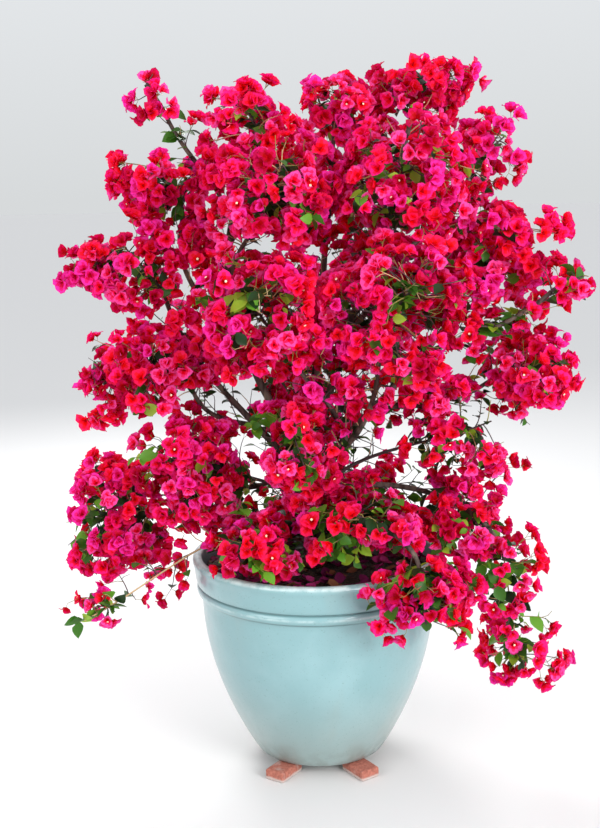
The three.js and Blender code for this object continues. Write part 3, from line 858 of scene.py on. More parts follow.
def grow_spray(mass, growth, direction, dice):
    """A twig from the mass's stem to near its surface, which blossoms there and has leaves."""
    lump = noise.noise(Vector(mass.at + direction * mass.half) / LUMP_SIZE)
    depth = dice.uniform(*by_name(mass.name, SPRAY_DEPTHS)) + LUMP_DEPTH * max(0.0, lump)
    wish = mass.at + direction * (mass.half - depth) + scatter(dice) * SPRAY_DRIFT
    if is_open(wish, HOLE_SIZE, by_name(mass.name, HOLE_LEVELS)):
        return
    goal = mass.pulled_inside(wish, SPRAY_WALL_ROOM)
    if np.linalg.norm(wish - goal) > PULLED_FAR and dice.random() < PULLED_FAR_SKIP:
        return
    share, start = twig_root(mass, goal)
    span = np.linalg.norm(goal - start)
    if span < SHORTEST_TWIG:
        return
    outward = unit(direction / mass.half)
    straight = unit(goal - start)
    wanted = mass.stem.heading(share) * STEM_PULL + straight * GOAL_PULL + UP * SKY_PULL
    heading = unit(wanted + scatter(dice) * START_STRAY)
    droop = TRAILING_DROOP if mass.hang or "trail" in mass.name else DROOP
    arrival = unit(straight + outward * OUTWARD_PULL - UP * droop + scatter(dice) * END_STRAY)
    spray = Spray(mass, growth, outward, dice)
    twig = Limb(twig_curve(start, heading, goal, arrival, span, SPRAY_HANDLE), *PRIMARY_RADIUS)
    grow_blossom(spray, twig, OUTER_SHARE * twig.length)
    grow_spray_leaves(spray, twig)


def grow_spray_leaves(spray, twig):
    mass, dice = spray.mass, spray.dice
    leafy = by_name(mass.name, LEAFINESS)
    turn = dice.uniform(0, math.tau)
    for along in np.arange(*LEAF_RUN, LEAF_SPACING / twig.length):
        turn += GOLDEN_TURN
        if dice.random() < leafy:
            point, forward, turned = leaf_on(twig, along, turn, spray.outward, ON_SPRAYS, dice)
            if fits(mass, point + forward * LEAF_REACH):
                size = LEAF_SIZES[pick(dice, LEAF_SIZE_WEIGHTS)] * dice.uniform(*LEAF_SIZE_SPREAD)
                kind = leaf_kind(dice, along + by_name(mass.name, SUNLIT))
                spray.growth.leaves.append((point, turned, size, kind))


def nearest_limb(point):
    """Where the nearest limb passes a point, and the growth of that limb's region."""
    near = []
    for mass in MASSES:
        for limb in (mass.stem, limbs.get(mass.name, mass.stem)):
            apart = np.linalg.norm(limb.points - point, axis=1)
            near.append((apart.min(), limb.points[apart.argmin()], growths[by_name(mass.name, REGIONS)]))
    return min(near, key=lambda entry: entry[0])[1:]


def grow_bridge(middle, dice):
    """Sprays outside the masses, where the photo shows blossom across a joint."""
    for _ in range(BRIDGE_SPRAYS):
        end = middle + scatter(dice) * BRIDGE_DRIFT
        start, growth = nearest_limb(end)
        span = np.linalg.norm(end - start)
        outward = unit(end - start)
        heading = outward + UP * BRIDGE_RISE
        twig = Limb(twig_curve(start, heading, end, outward, span), *PRIMARY_RADIUS)
        outer = min(BRIDGE_LENGTH, BRIDGE_SHARE * twig.length)
        grow_blossom(Spray(None, growth, outward, dice), twig, outer)


def grow_leafy_tip(end, dice):
    """A young shoot without blossom."""
    start, growth = nearest_limb(end)
    span = np.linalg.norm(end - start)
    outward = unit(unit(end - start) + UP * TIP_RISE)
    shoot = Limb(twig_curve(start, UP, end, outward, span), *SHOOT_RADIUS)
    draw_twig(growth, shoot, TWIG_POINTS, YOUNG_BARK)
    turn = dice.uniform(0, math.tau)
    for back in np.arange(0, LEAFY_TIP_LENGTH, TIP_LEAF_SPACING):
        turn += GOLDEN_TURN
        share = max(0.0, 1 - back / shoot.length)
        point, _, turned = leaf_on(shoot, share, turn, outward, ON_TIPS, dice)
        size = dice.uniform(*TIP_LEAF_SIZE)
        if pot_room(point) > TIP_POT_ROOM:
            growth.leaves.append((point, turned, size, dice.choice(TIP_LEAF_KINDS)))


def grow_shoots(limb, growth, habit, dice):
    """Side shoots along a limb, which show where the crown is open."""
    turn = dice.uniform(0, math.tau)
    for along in np.arange(habit.first, habit.last, habit.spacing / limb.length):
        turn = grow_shoot(limb, growth, habit, along, turn + GOLDEN_TURN, dice)


def grow_shoot(limb, growth, habit, along, turn, dice):
    """One side shoot with small leaves and often some florets. Gives back the turn it got to."""
    axis, start = limb.heading(along), limb.at(along)
    tipped = dice.random() < TIPPED_SHOOTS
    length = dice.uniform(*habit.lengths) * (1 if tipped else BARE_SHOOT_LENGTH)
    side = unit(axis * habit.rise + across(axis, turn) * SHOOT_ASIDE + UP * SHOOT_UP)
    end = start + unit(side + UP * dice.uniform(*SHOOT_RISE) + scatter(dice) * SHOOT_STRAY) * length
    if not in_reach(end, SHOOT_ROOM):
        return turn
    arrival = unit(side + scatter(dice) * SHOOT_END_STRAY)
    twig = Limb(twig_curve(start, side, end, arrival, length, SHOOT_HANDLE), *SHOOT_RADIUS)
    draw_twig(growth, twig, SHOOT_POINTS, pick(dice, SHOOT_BARKS))
    for share in np.arange(SHOOT_LEAVES_FROM, 1.0, SHOOT_LEAF_SPACING / length):
        if dice.random() < habit.leafy:
            turn += GOLDEN_TURN
            point, _, turned = leaf_on(twig, share, turn, side, ON_SHOOTS, dice)
            size = dice.uniform(*SHOOT_LEAF_SIZE)
            growth.leaves.append((point, turned, size, leaf_kind(dice, SHOOT_LIGHT)))
    if tipped and not is_open(end, HOLE_SIZE, SHOOT_HOLE_LEVEL):
        spray = Spray(None, growth, side, dice)
        tint = pick(dice, TINT_WEIGHTS)
        for share in np.arange(1, SHOOT_FLORETS_FROM, -SIDE_SPACING / length):
            heading = twig.heading(share)
            aside = unit(heading + across(heading, turn) * (share < 1))
            turn += GOLDEN_TURN
            grow_cluster(spray, twig.at(share), aside, tint, dice.choice(SHOOT_COUNTS))
    return turn


def grow_mass(mass):
    """The sprays of a mass, its stem, and the shoots on its bough or stem."""
    growth = growths.setdefault(by_name(mass.name, REGIONS), Growth())
    growth.nodes.append("foliage_" + mass.name)
    dice = random.Random(mass.name)
    count = max(FEWEST_SPRAYS, round(surface_of(mass) / SPRAY_AREA * by_name(mass.name, FULLNESS)))
    for direction in evenly_round(count, dice.uniform(0, math.tau)):
        grow_spray(mass, growth, direction, dice)
    stem, trailing = mass.stem, "trail" in mass.name
    root, bark = (stem.root * TRAIL_STEM_SHARE, TAN_BARK) if trailing else (stem.root, OLD_BARK)
    shares, radii = np.linspace(0, 1, STEM_POINTS), np.linspace(root, STEM_END_RADIUS, STEM_POINTS)
    growth.twigs.append((stem.at(shares), radii, bark))
    if mass.girth:
        grow_shoots(limbs[mass.name], growth, ON_SPRAY_BOUGHS if "spray" in mass.name else ON_BOUGHS, dice)
    else:
        grow_shoots(stem, growth, ON_STEMS, dice)


def grow_in_between():
    """What grows outside the masses: undergrowth round the trunk, bridging sprays and leafy tips."""
    dice = random.Random("undergrowth")
    for habit in (ON_TRUNK, ROUND_TRUNK_FOOT):
        grow_shoots(limbs["trunk"], growths["rim"], habit, dice)
    for place in BRIDGES:
        grow_bridge(np.array(place), dice)
    for place in LEAFY_TIPS:
        grow_leafy_tip(np.array(place), dice)


growths = {}
for mass in MASSES:
    grow_mass(mass)
grow_in_between()


# Colour and finish

def colour(red, green, blue):
    """A colour picked on screen, as the shaders take it."""
    def linear(value):
        value /= 255
        return value / 12.92 if value <= 0.04045 else ((value + 0.055) / 1.055) ** 2.4
    return (linear(red), linear(green), linear(blue), 1.0)


class Wire:
    """A socket in a material, on which sums are written as plain expressions."""

    def __init__(self, finish, socket):
        self.finish, self.socket = finish, socket

    def _with(self, operation, first, second):
        return self.finish.node("ShaderNodeMath", {0: first, 1: second}, operation=operation)

    def __add__(self, other):
        return self._with("ADD", self, other)

    def __sub__(self, other):
        return self._with("SUBTRACT", self, other)

    def __rsub__(self, other):
        return self._with("SUBTRACT", other, self)

    def __mul__(self, other):
        return self._with("MULTIPLY", self, other)

    __radd__, __rmul__ = __add__, __mul__

    def between(self, low, high):
        """0 below low, 1 above high, and smooth between them."""
        sockets = {"Value": self, "From Min": low, "From Max": high}
        return self.finish.node("ShaderNodeMapRange", sockets, interpolation_type="SMOOTHSTEP")

    def near(self, middle, width):
        """1 at the middle, falling to 0 a width away on either side."""
        off = self.finish.node("ShaderNodeMath", {0: self - middle}, operation="ABSOLUTE")
        return 1 - off.between(0.0, width)


class Finish:
    """A material in the making: one surface shader and the nodes that feed it."""

    def __init__(self, name, **surface):
        self.material = bpy.data.materials.new(name)
        self.material.use_nodes = True
        self.tree = self.material.node_tree
        self.shader = self.tree.nodes["Principled BSDF"]
        for key, value in surface.items():
            self.feed(key.replace("_", " ").title().replace("Ior", "IOR"), value)

    def feed(self, name, value):
        self.plug(self.shader.inputs[name], value)

    def plug(self, socket, value):
        if isinstance(value, Wire):
            self.tree.links.new(value.socket, socket)
        else:
            socket.default_value = value

    def node(self, kind, sockets=None, output=0, **settings):
        made = self.tree.nodes.new(kind)
        for key, value in settings.items():
            setattr(made, key, value)
        for key, value in (sockets or {}).items():
            self.plug(made.inputs[key], value)
        return Wire(self, made.outputs[output])

    def place(self):
        return self.node("ShaderNodeTexCoord", output="Object")

    def heights(self):
        return self.node("ShaderNodeSeparateXYZ", {0: self.place()}, output="Z")

    def stretched(self, *scale):
        return self.node("ShaderNodeMapping", {"Vector": self.place(), "Scale": scale})

    def clouds(self, scale, detail=3.0, vector=None):
        vector = vector or self.place()
        return self.node("ShaderNodeTexNoise", {"Vector": vector, "Scale": scale, "Detail": detail})

    def mix(self, first, second, share):
        sockets = {0: share, 6: first, 7: second}
        return self.node("ShaderNodeMix", sockets, output=2, data_type="RGBA")

    def bump(self, height, distance, strength=1.0):
        sockets = {"Height": height, "Distance": distance, "Strength": strength}
        self.feed("Normal", self.node("ShaderNodeBump", sockets))

    def let_light_through(self, tint, share):
        """Mixes in light from behind, as thin bracts and leaves pass it."""
        glow = self.node("ShaderNodeBsdfTranslucent", {"Color": tint})
        surface = Wire(self, self.shader.outputs[0])
        mixed = self.node("ShaderNodeMixShader", {0: share, 1: surface, 2: glow})
        self.tree.links.new(mixed.socket, self.tree.nodes["Material Output"].inputs["Surface"])


def thin_finish(name, tint, through=0.35, roughness=0.6, gloss=0.12):
    """The finish of a bract or leaf, with the share of light that it lets through."""
    made = Finish(name, base_color=colour(*tint), roughness=roughness, specular_ior_level=gloss)
    made.let_light_through(colour(*tint), through)
    return made.material


def bract_finishes(name):
    """From the body of a bract to its tip, with a blush half way; the paler blush and tip are partly the
    bract's own pink and partly a painted highlight.
    """
    body, tip, _ = TINTS[name]
    blush = [round((low + high) / 2) for low, high in zip(body, tip)]
    parts = {"body": body, "blush": blush, "tip": tip}
    return [thin_finish(f"{name}_bract_{part}", tint) for part, tint in parts.items()]


BRACTS = {name: bract_finishes(name) for name in TINTS}
HEART_AND_SHADE_FINISH = thin_finish("bract_heart", HEART_AND_SHADE, through=0.2)
FLOWER_FINISH = thin_finish("white_flower", FLOWER, through=0.2)
LEAVES = [
    thin_finish(name + "_leaf", tint, through=0.25, roughness=0.4, gloss=0.35)
    for name, tint in LEAF_TINTS.items()
]
BARKS = [
    Finish(name + "_twig", base_color=colour(*tint), roughness=0.8).material
    for name, tint in BARK_TINTS.items()
]


def bark_finish():
    """Grey bark with paler patches, over brown in its long fissures."""
    made = Finish("bougainvillea_bark", roughness=0.85)
    fissures = made.clouds(60.0, 5.0, made.stretched(1.0, 1.0, 0.22))
    patches = made.clouds(14.0, 2.0)
    grey, brown, pale = colour(94, 80, 74), colour(54, 42, 38), colour(134, 118, 102)
    tone = made.mix(grey, pale, patches.between(0.5, 0.72))
    made.feed("Base Color", made.mix(brown, tone, fissures.between(0.36, 0.56)))
    made.bump(fissures, 0.004, 0.8)
    return made.material


def glaze_finish():
    """An aqua glaze, greyer towards the ground, dark in the grooves, and pale on the lip and bead, partly
    rubbed wear and partly a painted highlight.
    """
    made = Finish("aqua_glaze", coat_weight=0.55, coat_roughness=0.12, specular_ior_level=0.5)
    height = made.heights()
    mottle = made.clouds(5.0, 4.0)
    streaks = made.clouds(7.0, 3.0, made.stretched(1.0, 1.0, 0.18))
    specks = made.clouds(220.0, 1.0).between(0.68, 0.74)
    wear = made.clouds(34.0, 4.0)
    aqua, pale, grey = colour(128, 167, 171), colour(146, 183, 187), colour(144, 158, 154)
    groove_dark, rubbed_and_highlight, dirty, speckled = (
        colour(78, 112, 114), colour(216, 232, 230), colour(118, 118, 104), colour(104, 132, 126),
    )
    tone = made.mix(aqua, pale, mottle.between(0.42, 0.68) * 0.7)
    greyer = (1 - height.between(0.05, 0.35)) * 0.75 + streaks.between(0.55, 0.75) * 0.25
    tone = made.mix(tone, grey, greyer)
    # darker in the grooves
    grooves = height.near(LOW_GROOVE, 0.006) + height.near(HIGH_GROOVE, 0.006)
    tone = made.mix(tone, groove_dark, grooves * 0.75)
    # the pale lip and bead are partly rubbed wear and partly a painted highlight
    edges = height.near(POT_TOP - 0.004, 0.010) + height.near(BEAD_HEIGHT, 0.006) * 0.5
    tone = made.mix(tone, rubbed_and_highlight, edges * wear.between(0.30, 0.62) * 0.7)
    grime = (1 - height.between(0.03, 0.12)) * wear.between(0.35, 0.6)
    tone = made.mix(tone, dirty, grime * 0.3)
    made.feed("Base Color", made.mix(tone, speckled, specks * 0.5))
    made.feed("Roughness", 0.24 + wear * 0.16 + grime * 0.3)
    made.bump(made.clouds(26.0, 2.0) + wear * 0.2, 0.003, 0.35)
    return made.material


def soil_finish():
    made = Finish("potting_soil", roughness=0.95)
    crumbs = made.clouds(160.0, 6.0)
    damp = made.clouds(9.0, 2.0)
    dark, light, wet = colour(34, 24, 20), colour(84, 64, 50), colour(24, 17, 15)
    tone = made.mix(dark, light, crumbs.between(0.4, 0.68))
    made.feed("Base Color", made.mix(tone, wet, damp.between(0.45, 0.7) * 0.6))
    made.bump(crumbs, 0.006, 0.9)
    return made.material


def brick_finish():
    """Old terracotta brick, scorched in places, with pale mortar low down and here and there."""
    made = Finish("terracotta_brick", roughness=0.9)
    grain = made.clouds(140.0, 5.0)
    patches = made.clouds(28.0, 3.0)
    low_down = 1 - (made.heights() + patches * 0.014).between(0.014, 0.020)
    dull, warm, scorched, mortar = (
        colour(152, 86, 72), colour(190, 118, 100), colour(96, 54, 44), colour(200, 188, 182),
    )
    tone = made.mix(dull, warm, grain.between(0.25, 0.75))
    tone = made.mix(tone, scorched, (1 - patches.between(0.3, 0.42)) * 0.6)
    made.feed("Base Color", made.mix(tone, mortar, patches.between(0.52, 0.72) * 0.5 + low_down * 0.8))
    made.bump(grain, 0.002, 0.6)
    return made.material


# Making and joining meshes

WELD = 1e-5
SLIVER = 1e-6
PLACE_VALUES = {"turn": "QUATERNION", "size": "FLOAT", "kind": "INT"}


def mesh_from(name, bm, finishes, smooth=True):
    """Turns a bmesh into a mesh with these finishes in order."""
    for face in bm.faces:
        face.smooth = smooth
    mesh = bpy.data.meshes.new(name)
    bm.to_mesh(mesh)
    bm.free()
    for finish in finishes:
        mesh.materials.append(finish)
    return mesh


def add_object(name, data):
    made = bpy.data.objects.new(name, data)
    bpy.context.scene.collection.objects.link(made)
    return made


def show(name, mesh, stands_for=()):
    piece = add_object(name, mesh)
    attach(piece, "root")
    if stands_for:
        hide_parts(*stands_for)


def finished_mesh(carrier, name):
    """The mesh that an object's modifiers make, kept without the object."""
    reads = bpy.context.evaluated_depsgraph_get()
    mesh = bpy.data.meshes.new_from_object(carrier.evaluated_get(reads))
    mesh.name = name
    bpy.data.objects.remove(carrier)
    return mesh


def carrier_of(name, places):
    """A mesh of bare points, which hold each place's turn, size and kind."""
    points, turns, sizes, kinds = zip(*places)
    mesh = bpy.data.meshes.new(name)
    mesh.vertices.add(len(places))
    mesh.vertices.foreach_set("co", np.array(points).ravel())
    for key, values in (("turn", turns), ("size", sizes), ("kind", kinds)):
        made = mesh.attributes.new(key, PLACE_VALUES[key], "POINT")
        made.data.foreach_set("value", np.array(values).ravel())
    return mesh


def spread(name, kinds, places):
    """Copies a kind's mesh to every place, with its turn and size, and joins them all into one mesh."""
    shelf = bpy.data.collections.new(name + "_kinds")
    for number, mesh in enumerate(kinds):
        shelf.objects.link(bpy.data.objects.new(f"{name}_kind_{number:02d}", mesh))

    tree = bpy.data.node_groups.new(name + "_spread", "GeometryNodeTree")
    for end in ("INPUT", "OUTPUT"):
        tree.interface.new_socket("Geometry", in_out=end, socket_type="NodeSocketGeometry")
    node, link = tree.nodes.new, tree.links.new
    entrance, leaving = node("NodeGroupInput"), node("NodeGroupOutput")
    info, place, real = (
        node("GeometryNode" + kind) for kind in ("CollectionInfo", "InstanceOnPoints", "RealizeInstances")
    )
    info.inputs["Collection"].default_value = shelf
    info.inputs["Separate Children"].default_value = True
    info.inputs["Reset Children"].default_value = True
    place.inputs["Pick Instance"].default_value = True
    for key, socket in (("turn", "Rotation"), ("size", "Scale"), ("kind", "Instance Index")):
        read = node("GeometryNodeInputNamedAttribute")
        read.data_type = PLACE_VALUES[key]
        read.inputs["Name"].default_value = key
        link(read.outputs["Attribute"], place.inputs[socket])
    link(entrance.outputs[0], place.inputs["Points"])
    link(info.outputs[0], place.inputs["Instance"])
    link(place.outputs[0], real.inputs[0])
    link(real.outputs[0], leaving.inputs[0])

    carrier = add_object(name + "_carrier", carrier_of(name, places))
    carrier.modifiers.new("spread", "NODES").node_group = tree
    joined = finished_mesh(carrier, name)
    for child in list(shelf.objects):
        bpy.data.objects.remove(child)
    bpy.data.collections.remove(shelf)
    return joined


def paint(verts, index):
    for vert in verts:
        for face in vert.link_faces:
            face.material_index = index


# Bracts and leaves

BRACT_LENGTH = 0.037
BRACT_HALF_WIDTH = 0.0172
BRACT_BLUNTNESS = 0.72
BRACT_RIPPLE = 0.0022
RIPPLES_ALONG = 8
RIPPLES_ACROSS = 2.5
BRACT_SWING = 0.22
BRACT_TILT = (-0.32, 0.24)
BRACT_TWIST = 0.35
BRACT_GROWTH = (0.84, 1.08)
PEDICEL_RADII = (0.0007, 0.0010)
FLOWER_LEAN = 0.25
FLOWER_LENGTH = 0.016
FLOWER_RADII = (0.0010, 0.0018)
STAR_RADIUS = 0.0036
STAR_LIFT = 0.0003
LEAF_LENGTH = 0.047
LEAF_HALF_WIDTH = 0.0168
LEAF_BLUNTNESS = 0.95
LEAF_STALK = 0.12
LEAF_STALK_HALF_WIDTH = 0.0006
LEAF_ARCH = 0.010
LEAF_FOLD = 0.35

# the zones of a floret's faces: the heart holds painted shade, and blush and tip are partly a painted
# highlight
BODY, BLUSH, TIP_AND_HIGHLIGHT, HEART_AND_SHADE_ZONE, STALK, WHITE = range(6)


def leaf_outline(along, blunt=0.85, full=0.6):
    """The half width of an oval blade with a pointed tip, 1 at its widest."""
    widest = full / (full + blunt)
    return (along**full * (1 - along) ** blunt) / (widest**full * (1 - widest) ** blunt)


def add_blade(bm, shape, columns, rows, zone_of):
    """Adds a blade: a grid whose corners a shape function moves, closed to a point at both ends."""
    made = bmesh.ops.create_grid(bm, x_segments=columns, y_segments=rows, size=1)
    for face in {face for vert in made["verts"] for face in vert.link_faces}:
        middle = face.calc_center_median()
        face.material_index = zone_of(abs(middle.x), (middle.y + 1) / 2)
    for vert in made["verts"]:
        vert.co = shape(vert.co.x, (vert.co.y + 1) / 2)
    return made["verts"]


def all_one(_off_middle, _along):
    return 0


def close_points(bm):
    """Welds the ends of blades and takes out the slivers that this leaves."""
    bmesh.ops.remove_doubles(bm, verts=bm.verts, dist=WELD)
    bmesh.ops.dissolve_degenerate(bm, edges=bm.edges, dist=SLIVER)


def bract_zone(off_middle, along):
    """A bract is red at its heart, darker there as painted shade, and pinker towards its edges and tip,
    where the pink is partly its own and partly a painted highlight.
    """
    # the heart zone is a redder red, darkened as painted shade in the floret's hollow
    if along < 0.25:
        return HEART_AND_SHADE_ZONE
    # blush and tip are the bract's own pink and partly a painted highlight
    outer_half = along > 0.5
    rim = along > 0.72 or (off_middle > 0.5 and along > 0.3)
    return (BODY, BLUSH, TIP_AND_HIGHLIGHT)[outer_half + rim]


def bract_shape(form, side, along):
    """A cupped bract that rises from the floret's heart and opens outwards, along +X."""
    bend = form.tip_angle - form.base_angle
    angle = form.base_angle + bend * along
    out = BRACT_LENGTH / bend * (math.cos(form.base_angle) - math.cos(angle))
    up = BRACT_LENGTH / bend * (math.sin(angle) - math.sin(form.base_angle))
    half = BRACT_HALF_WIDTH * leaf_outline(along, BRACT_BLUNTNESS)
    ripple = BRACT_RIPPLE * math.sin(RIPPLES_ALONG * along + RIPPLES_ACROSS * side) * abs(side)
    lift = form.cup * half * side * side + ripple
    return Vector((out - lift * math.cos(angle), side * half, up + lift * math.sin(angle)))


def add_stalk(bm):
    foot, neck = PEDICEL_RADII
    stalk = bmesh.ops.create_cone(
        bm, segments=3, radius1=foot, radius2=neck, depth=PEDICEL,
        matrix=Matrix.Translation((0, 0, -PEDICEL / 2)),
    )
    paint(stalk["verts"], STALK)


def add_flower(bm):
    """The small true flower: a red tube that opens in a white star."""
    lean = Matrix.Rotation(FLOWER_LEAN, 4, "X")
    foot, mouth = FLOWER_RADII
    tube = bmesh.ops.create_cone(
        bm, segments=4, radius1=foot, radius2=mouth, depth=FLOWER_LENGTH,
        matrix=lean @ Matrix.Translation((0, 0, FLOWER_LENGTH / 2)),
    )
    paint(tube["verts"], BODY)
    star = bmesh.ops.create_circle(
        bm, cap_ends=True, cap_tris=True, segments=6, radius=STAR_RADIUS,
        matrix=lean @ Matrix.Translation((0, 0, FLOWER_LENGTH + STAR_LIFT)),
    )
    paint(star["verts"], WHITE)


def floret_bmesh(form):
    """Three bracts round a stalk, no two of them alike, and on some a small white flower."""
    bm = bmesh.new()
    dice = random.Random(form.base_angle)
    for turn in range(3):
        verts = add_blade(bm, partial(bract_shape, form), 3, 4, bract_zone)
        swing = turn * math.tau / 3 + dice.uniform(-BRACT_SWING, BRACT_SWING)
        placed = (
            Matrix.Rotation(swing, 3, "Z")
            @ Matrix.Rotation(dice.uniform(*BRACT_TILT), 3, "Y")
            @ Matrix.Rotation(dice.uniform(-BRACT_TWIST, BRACT_TWIST), 3, "X")
            @ Matrix.Scale(dice.uniform(*BRACT_GROWTH), 3)
        )
        bmesh.ops.transform(bm, matrix=placed, verts=verts)
    close_points(bm)
    add_stalk(bm)
    if form.flower:
        add_flower(bm)
    return bm


def floret_kinds():
    """One mesh for each tint and form, in the order that a floret's kind counts them."""
    made = []
    for tint in TINTS:
        for number, form in enumerate(FLORET_FORMS):
            finishes = [*BRACTS[tint], HEART_AND_SHADE_FINISH, BARKS[YOUNG_BARK], FLOWER_FINISH]
            made.append(mesh_from(f"{tint}_floret_{number}", floret_bmesh(form), finishes))
    return made


def leaf_shape(side, along):
    """A leaf on its stalk, along +Y, folded a little at its midrib and arching down."""
    blade = max(0.0, (along - LEAF_STALK) / (1 - LEAF_STALK))
    half = LEAF_HALF_WIDTH * leaf_outline(blade, LEAF_BLUNTNESS) if blade > 0 else LEAF_STALK_HALF_WIDTH
    down = LEAF_ARCH * along * along
    return Vector((side * half, along * LEAF_LENGTH, abs(side) * half * LEAF_FOLD - down))


def leaf_kinds():
    made = []
    for name, finish in zip(LEAF_TINTS, LEAVES):
        bm = bmesh.new()
        add_blade(bm, leaf_shape, 2, 5, all_one)
        close_points(bm)
        made.append(mesh_from(name + "_leaf", bm, [finish]))
    return made


# The skins of twigs, boughs and trunk

TRUNK_SIDES, TRUNK_RING = 32, 0.008
BOUGH_SIDES, BOUGH_RING = 10, 0.014
BOUGH_GNARL = 0.05
GNARL_LOBES = 3
GNARL_TWIST = 4
RIDGE_DEPTH = 0.16
RIDGES_ROUND = 2.2
RIDGES_ALONG = 14
KNOT_DEPTH = 0.09
KNOTS_ALONG = 28
KNOT_SHIFT = 9


def twig_skin(name, lines):
    """Gives each line of points and radii a three-sided skin."""
    section = bpy.data.curves.new(name + "_section", "CURVE")
    ring = section.splines.new("POLY")
    ring.points.add(2)
    for step, point in enumerate(ring.points):
        point.co = (math.cos(step * math.tau / 3), math.sin(step * math.tau / 3), 0, 1)
    ring.use_cyclic_u = True
    profile = add_object(name + "_section", section)
    curve = bpy.data.curves.new(name, "CURVE")
    curve.dimensions = "3D"
    curve.bevel_mode = "OBJECT"
    curve.bevel_object = profile
    curve.use_fill_caps = True
    # a line takes its bark only from finishes that the curve already has
    for finish in BARKS:
        curve.materials.append(finish)
    for points, radii, bark in lines:
        spline = curve.splines.new("POLY")
        spline.points.add(len(points) - 1)
        spline.points.foreach_set("co", np.column_stack((points, np.ones(len(points)))).ravel())
        spline.points.foreach_set("radius", radii)
        spline.material_index = bark
        spline.use_smooth = True
    mesh = finished_mesh(add_object(name + "_carrier", curve), name)
    bpy.data.objects.remove(profile)
    return mesh


def relief_of(limb, share, turn, gnarl):
    """How far the bark stands out at a place on a limb: its gnarled section, ridges and knots."""
    run = share * limb.length
    round_about = Vector((math.cos(turn) * RIDGES_ROUND, math.sin(turn) * RIDGES_ROUND, run * RIDGES_ALONG))
    ridges = noise.noise(round_about + Vector(limb.points[0]))
    knots = noise.noise(Vector((run * KNOTS_ALONG, limb.points[-1][0] * KNOT_SHIFT, 0)))
    lobes = gnarl * math.sin(GNARL_LOBES * turn + GNARL_TWIST * share)
    return 1 + lobes + RIDGE_DEPTH * ridges + KNOT_DEPTH * knots


def add_limb(joined, limb, sides, ring_length, gnarl):
    """Adds one limb: a drum cut into rings, which are moved along the limb and given its bark's relief."""
    rings = max(4, round(limb.length / ring_length))
    bm = bmesh.new()
    bmesh.ops.create_cone(bm, cap_ends=True, cap_tris=True, segments=sides, radius1=1, radius2=1, depth=1)
    upright = [edge for edge in bm.edges if abs(edge.verts[0].co.z - edge.verts[1].co.z) > 0.5]
    bmesh.ops.subdivide_edges(bm, edges=upright, cuts=rings - 1, use_grid_fill=True)
    headings = [limb.heading(step / rings) for step in range(rings + 1)]
    frames = [across(headings[0], 0)]
    for heading in headings[1:]:
        frames.append(unit(frames[-1] - heading * (frames[-1] @ heading)))
    for vert in bm.verts:
        share = vert.co.z + 0.5
        ring = round(share * rings)
        turn, out = math.atan2(vert.co.y, vert.co.x), math.hypot(vert.co.x, vert.co.y)
        relief = relief_of(limb, share, turn, gnarl)
        side = frames[ring] * math.cos(turn) + np.cross(headings[ring], frames[ring]) * math.sin(turn)
        vert.co = Vector(limb.at(share) + side * out * limb.radius(share) * relief)
    bmesh.ops.recalc_face_normals(bm, faces=bm.faces)
    one = mesh_from("limb", bm, [])
    joined.from_mesh(one)
    bpy.data.meshes.remove(one)


def make_limbs():
    bark = bark_finish()
    trunk = bmesh.new()
    add_limb(trunk, limbs["trunk"], TRUNK_SIDES, TRUNK_RING, TRUNK_GNARL)
    show("trunk_bark", mesh_from("trunk_bark", trunk, [bark]), ["trunk"])
    boughs = bmesh.new()
    named = [mass.name for mass in MASSES if mass.girth]
    for name in named:
        add_limb(boughs, limbs[name], BOUGH_SIDES, BOUGH_RING, BOUGH_GNARL)
    show("bough_bark", mesh_from("bough_bark", boughs, [bark]), ["bough_" + name for name in named])


def make_foliage():
    florets, leaves = floret_kinds(), leaf_kinds()
    for region, growth in growths.items():
        blossom = spread("blossom_" + region, florets, growth.florets)
        show("blossom_" + region, blossom, growth.nodes)
        show("leaves_" + region, spread("leaves_" + region, leaves, growth.leaves))
        show("twigs_" + region, twig_skin("twigs_" + region, growth.twigs))


# Pot, soil and feet

POT_STEPS = 120
POT_WELD = 1e-6
BODY_RINGS = 30
THROAT_RINGS = 12
# how fast a fractal's octaves fade, and how much finer each one is than the one before
FRACTAL = (1.0, 2.0)
SOIL_CELLS = 80
SOIL_SHEET = 0.004
CRUMB_SCALE = 26
CRUMB_LIFT = 0.001
CRUMB_HEIGHT = 0.008
BRICK_HALF_SIZES = (BRICK_LENGTH / 2, BRICK_WIDTH / 2, UNDERSIDE / 2)
BRICK_BEVEL = 0.006
CHIP_SCALE = 70
CHIP_SHIFT = 50
CHIP_DEPTH = 0.03
CHIP_START = 1.2
PETAL_TINTS = {"faded": (150, 40, 96), "dusk": (104, 22, 70), "brown": (120, 74, 52)}
PETAL_COUNT = 240
PETAL_REACH = 0.300
PETAL_LIFT = (0.009, 0.004)
PETAL_LEAN = 0.3
PETAL_CUP = 0.005
PETAL_RISE = 0.004
PETAL_SIZES = (0.7, 1.0)


def body_radius(height):
    share = (height - UNDERSIDE) / (BODY_TOP - UNDERSIDE)
    return BASE_RADIUS + (BODY_RADIUS - BASE_RADIUS) * math.sin(math.pi / 2 * share**BODY_FULLNESS)


def smooth_through(points, cuts):
    """A smooth line through these points, with even steps between each pair."""
    points = np.array(points)
    padded = np.vstack((2 * points[0] - points[1], points, 2 * points[-1] - points[-2]))
    line = []
    for before, first, second, after in zip(padded, padded[1:], padded[2:], padded[3:]):
        slope = second - before
        bend = 2 * before - 5 * first + 4 * second - after
        twist = 3 * first - before - 3 * second + after
        for t in np.arange(cuts) / cuts:
            line.append(0.5 * (2 * first + slope * t + bend * t**2 + twist * t**3))
    return [*line, points[-1]]


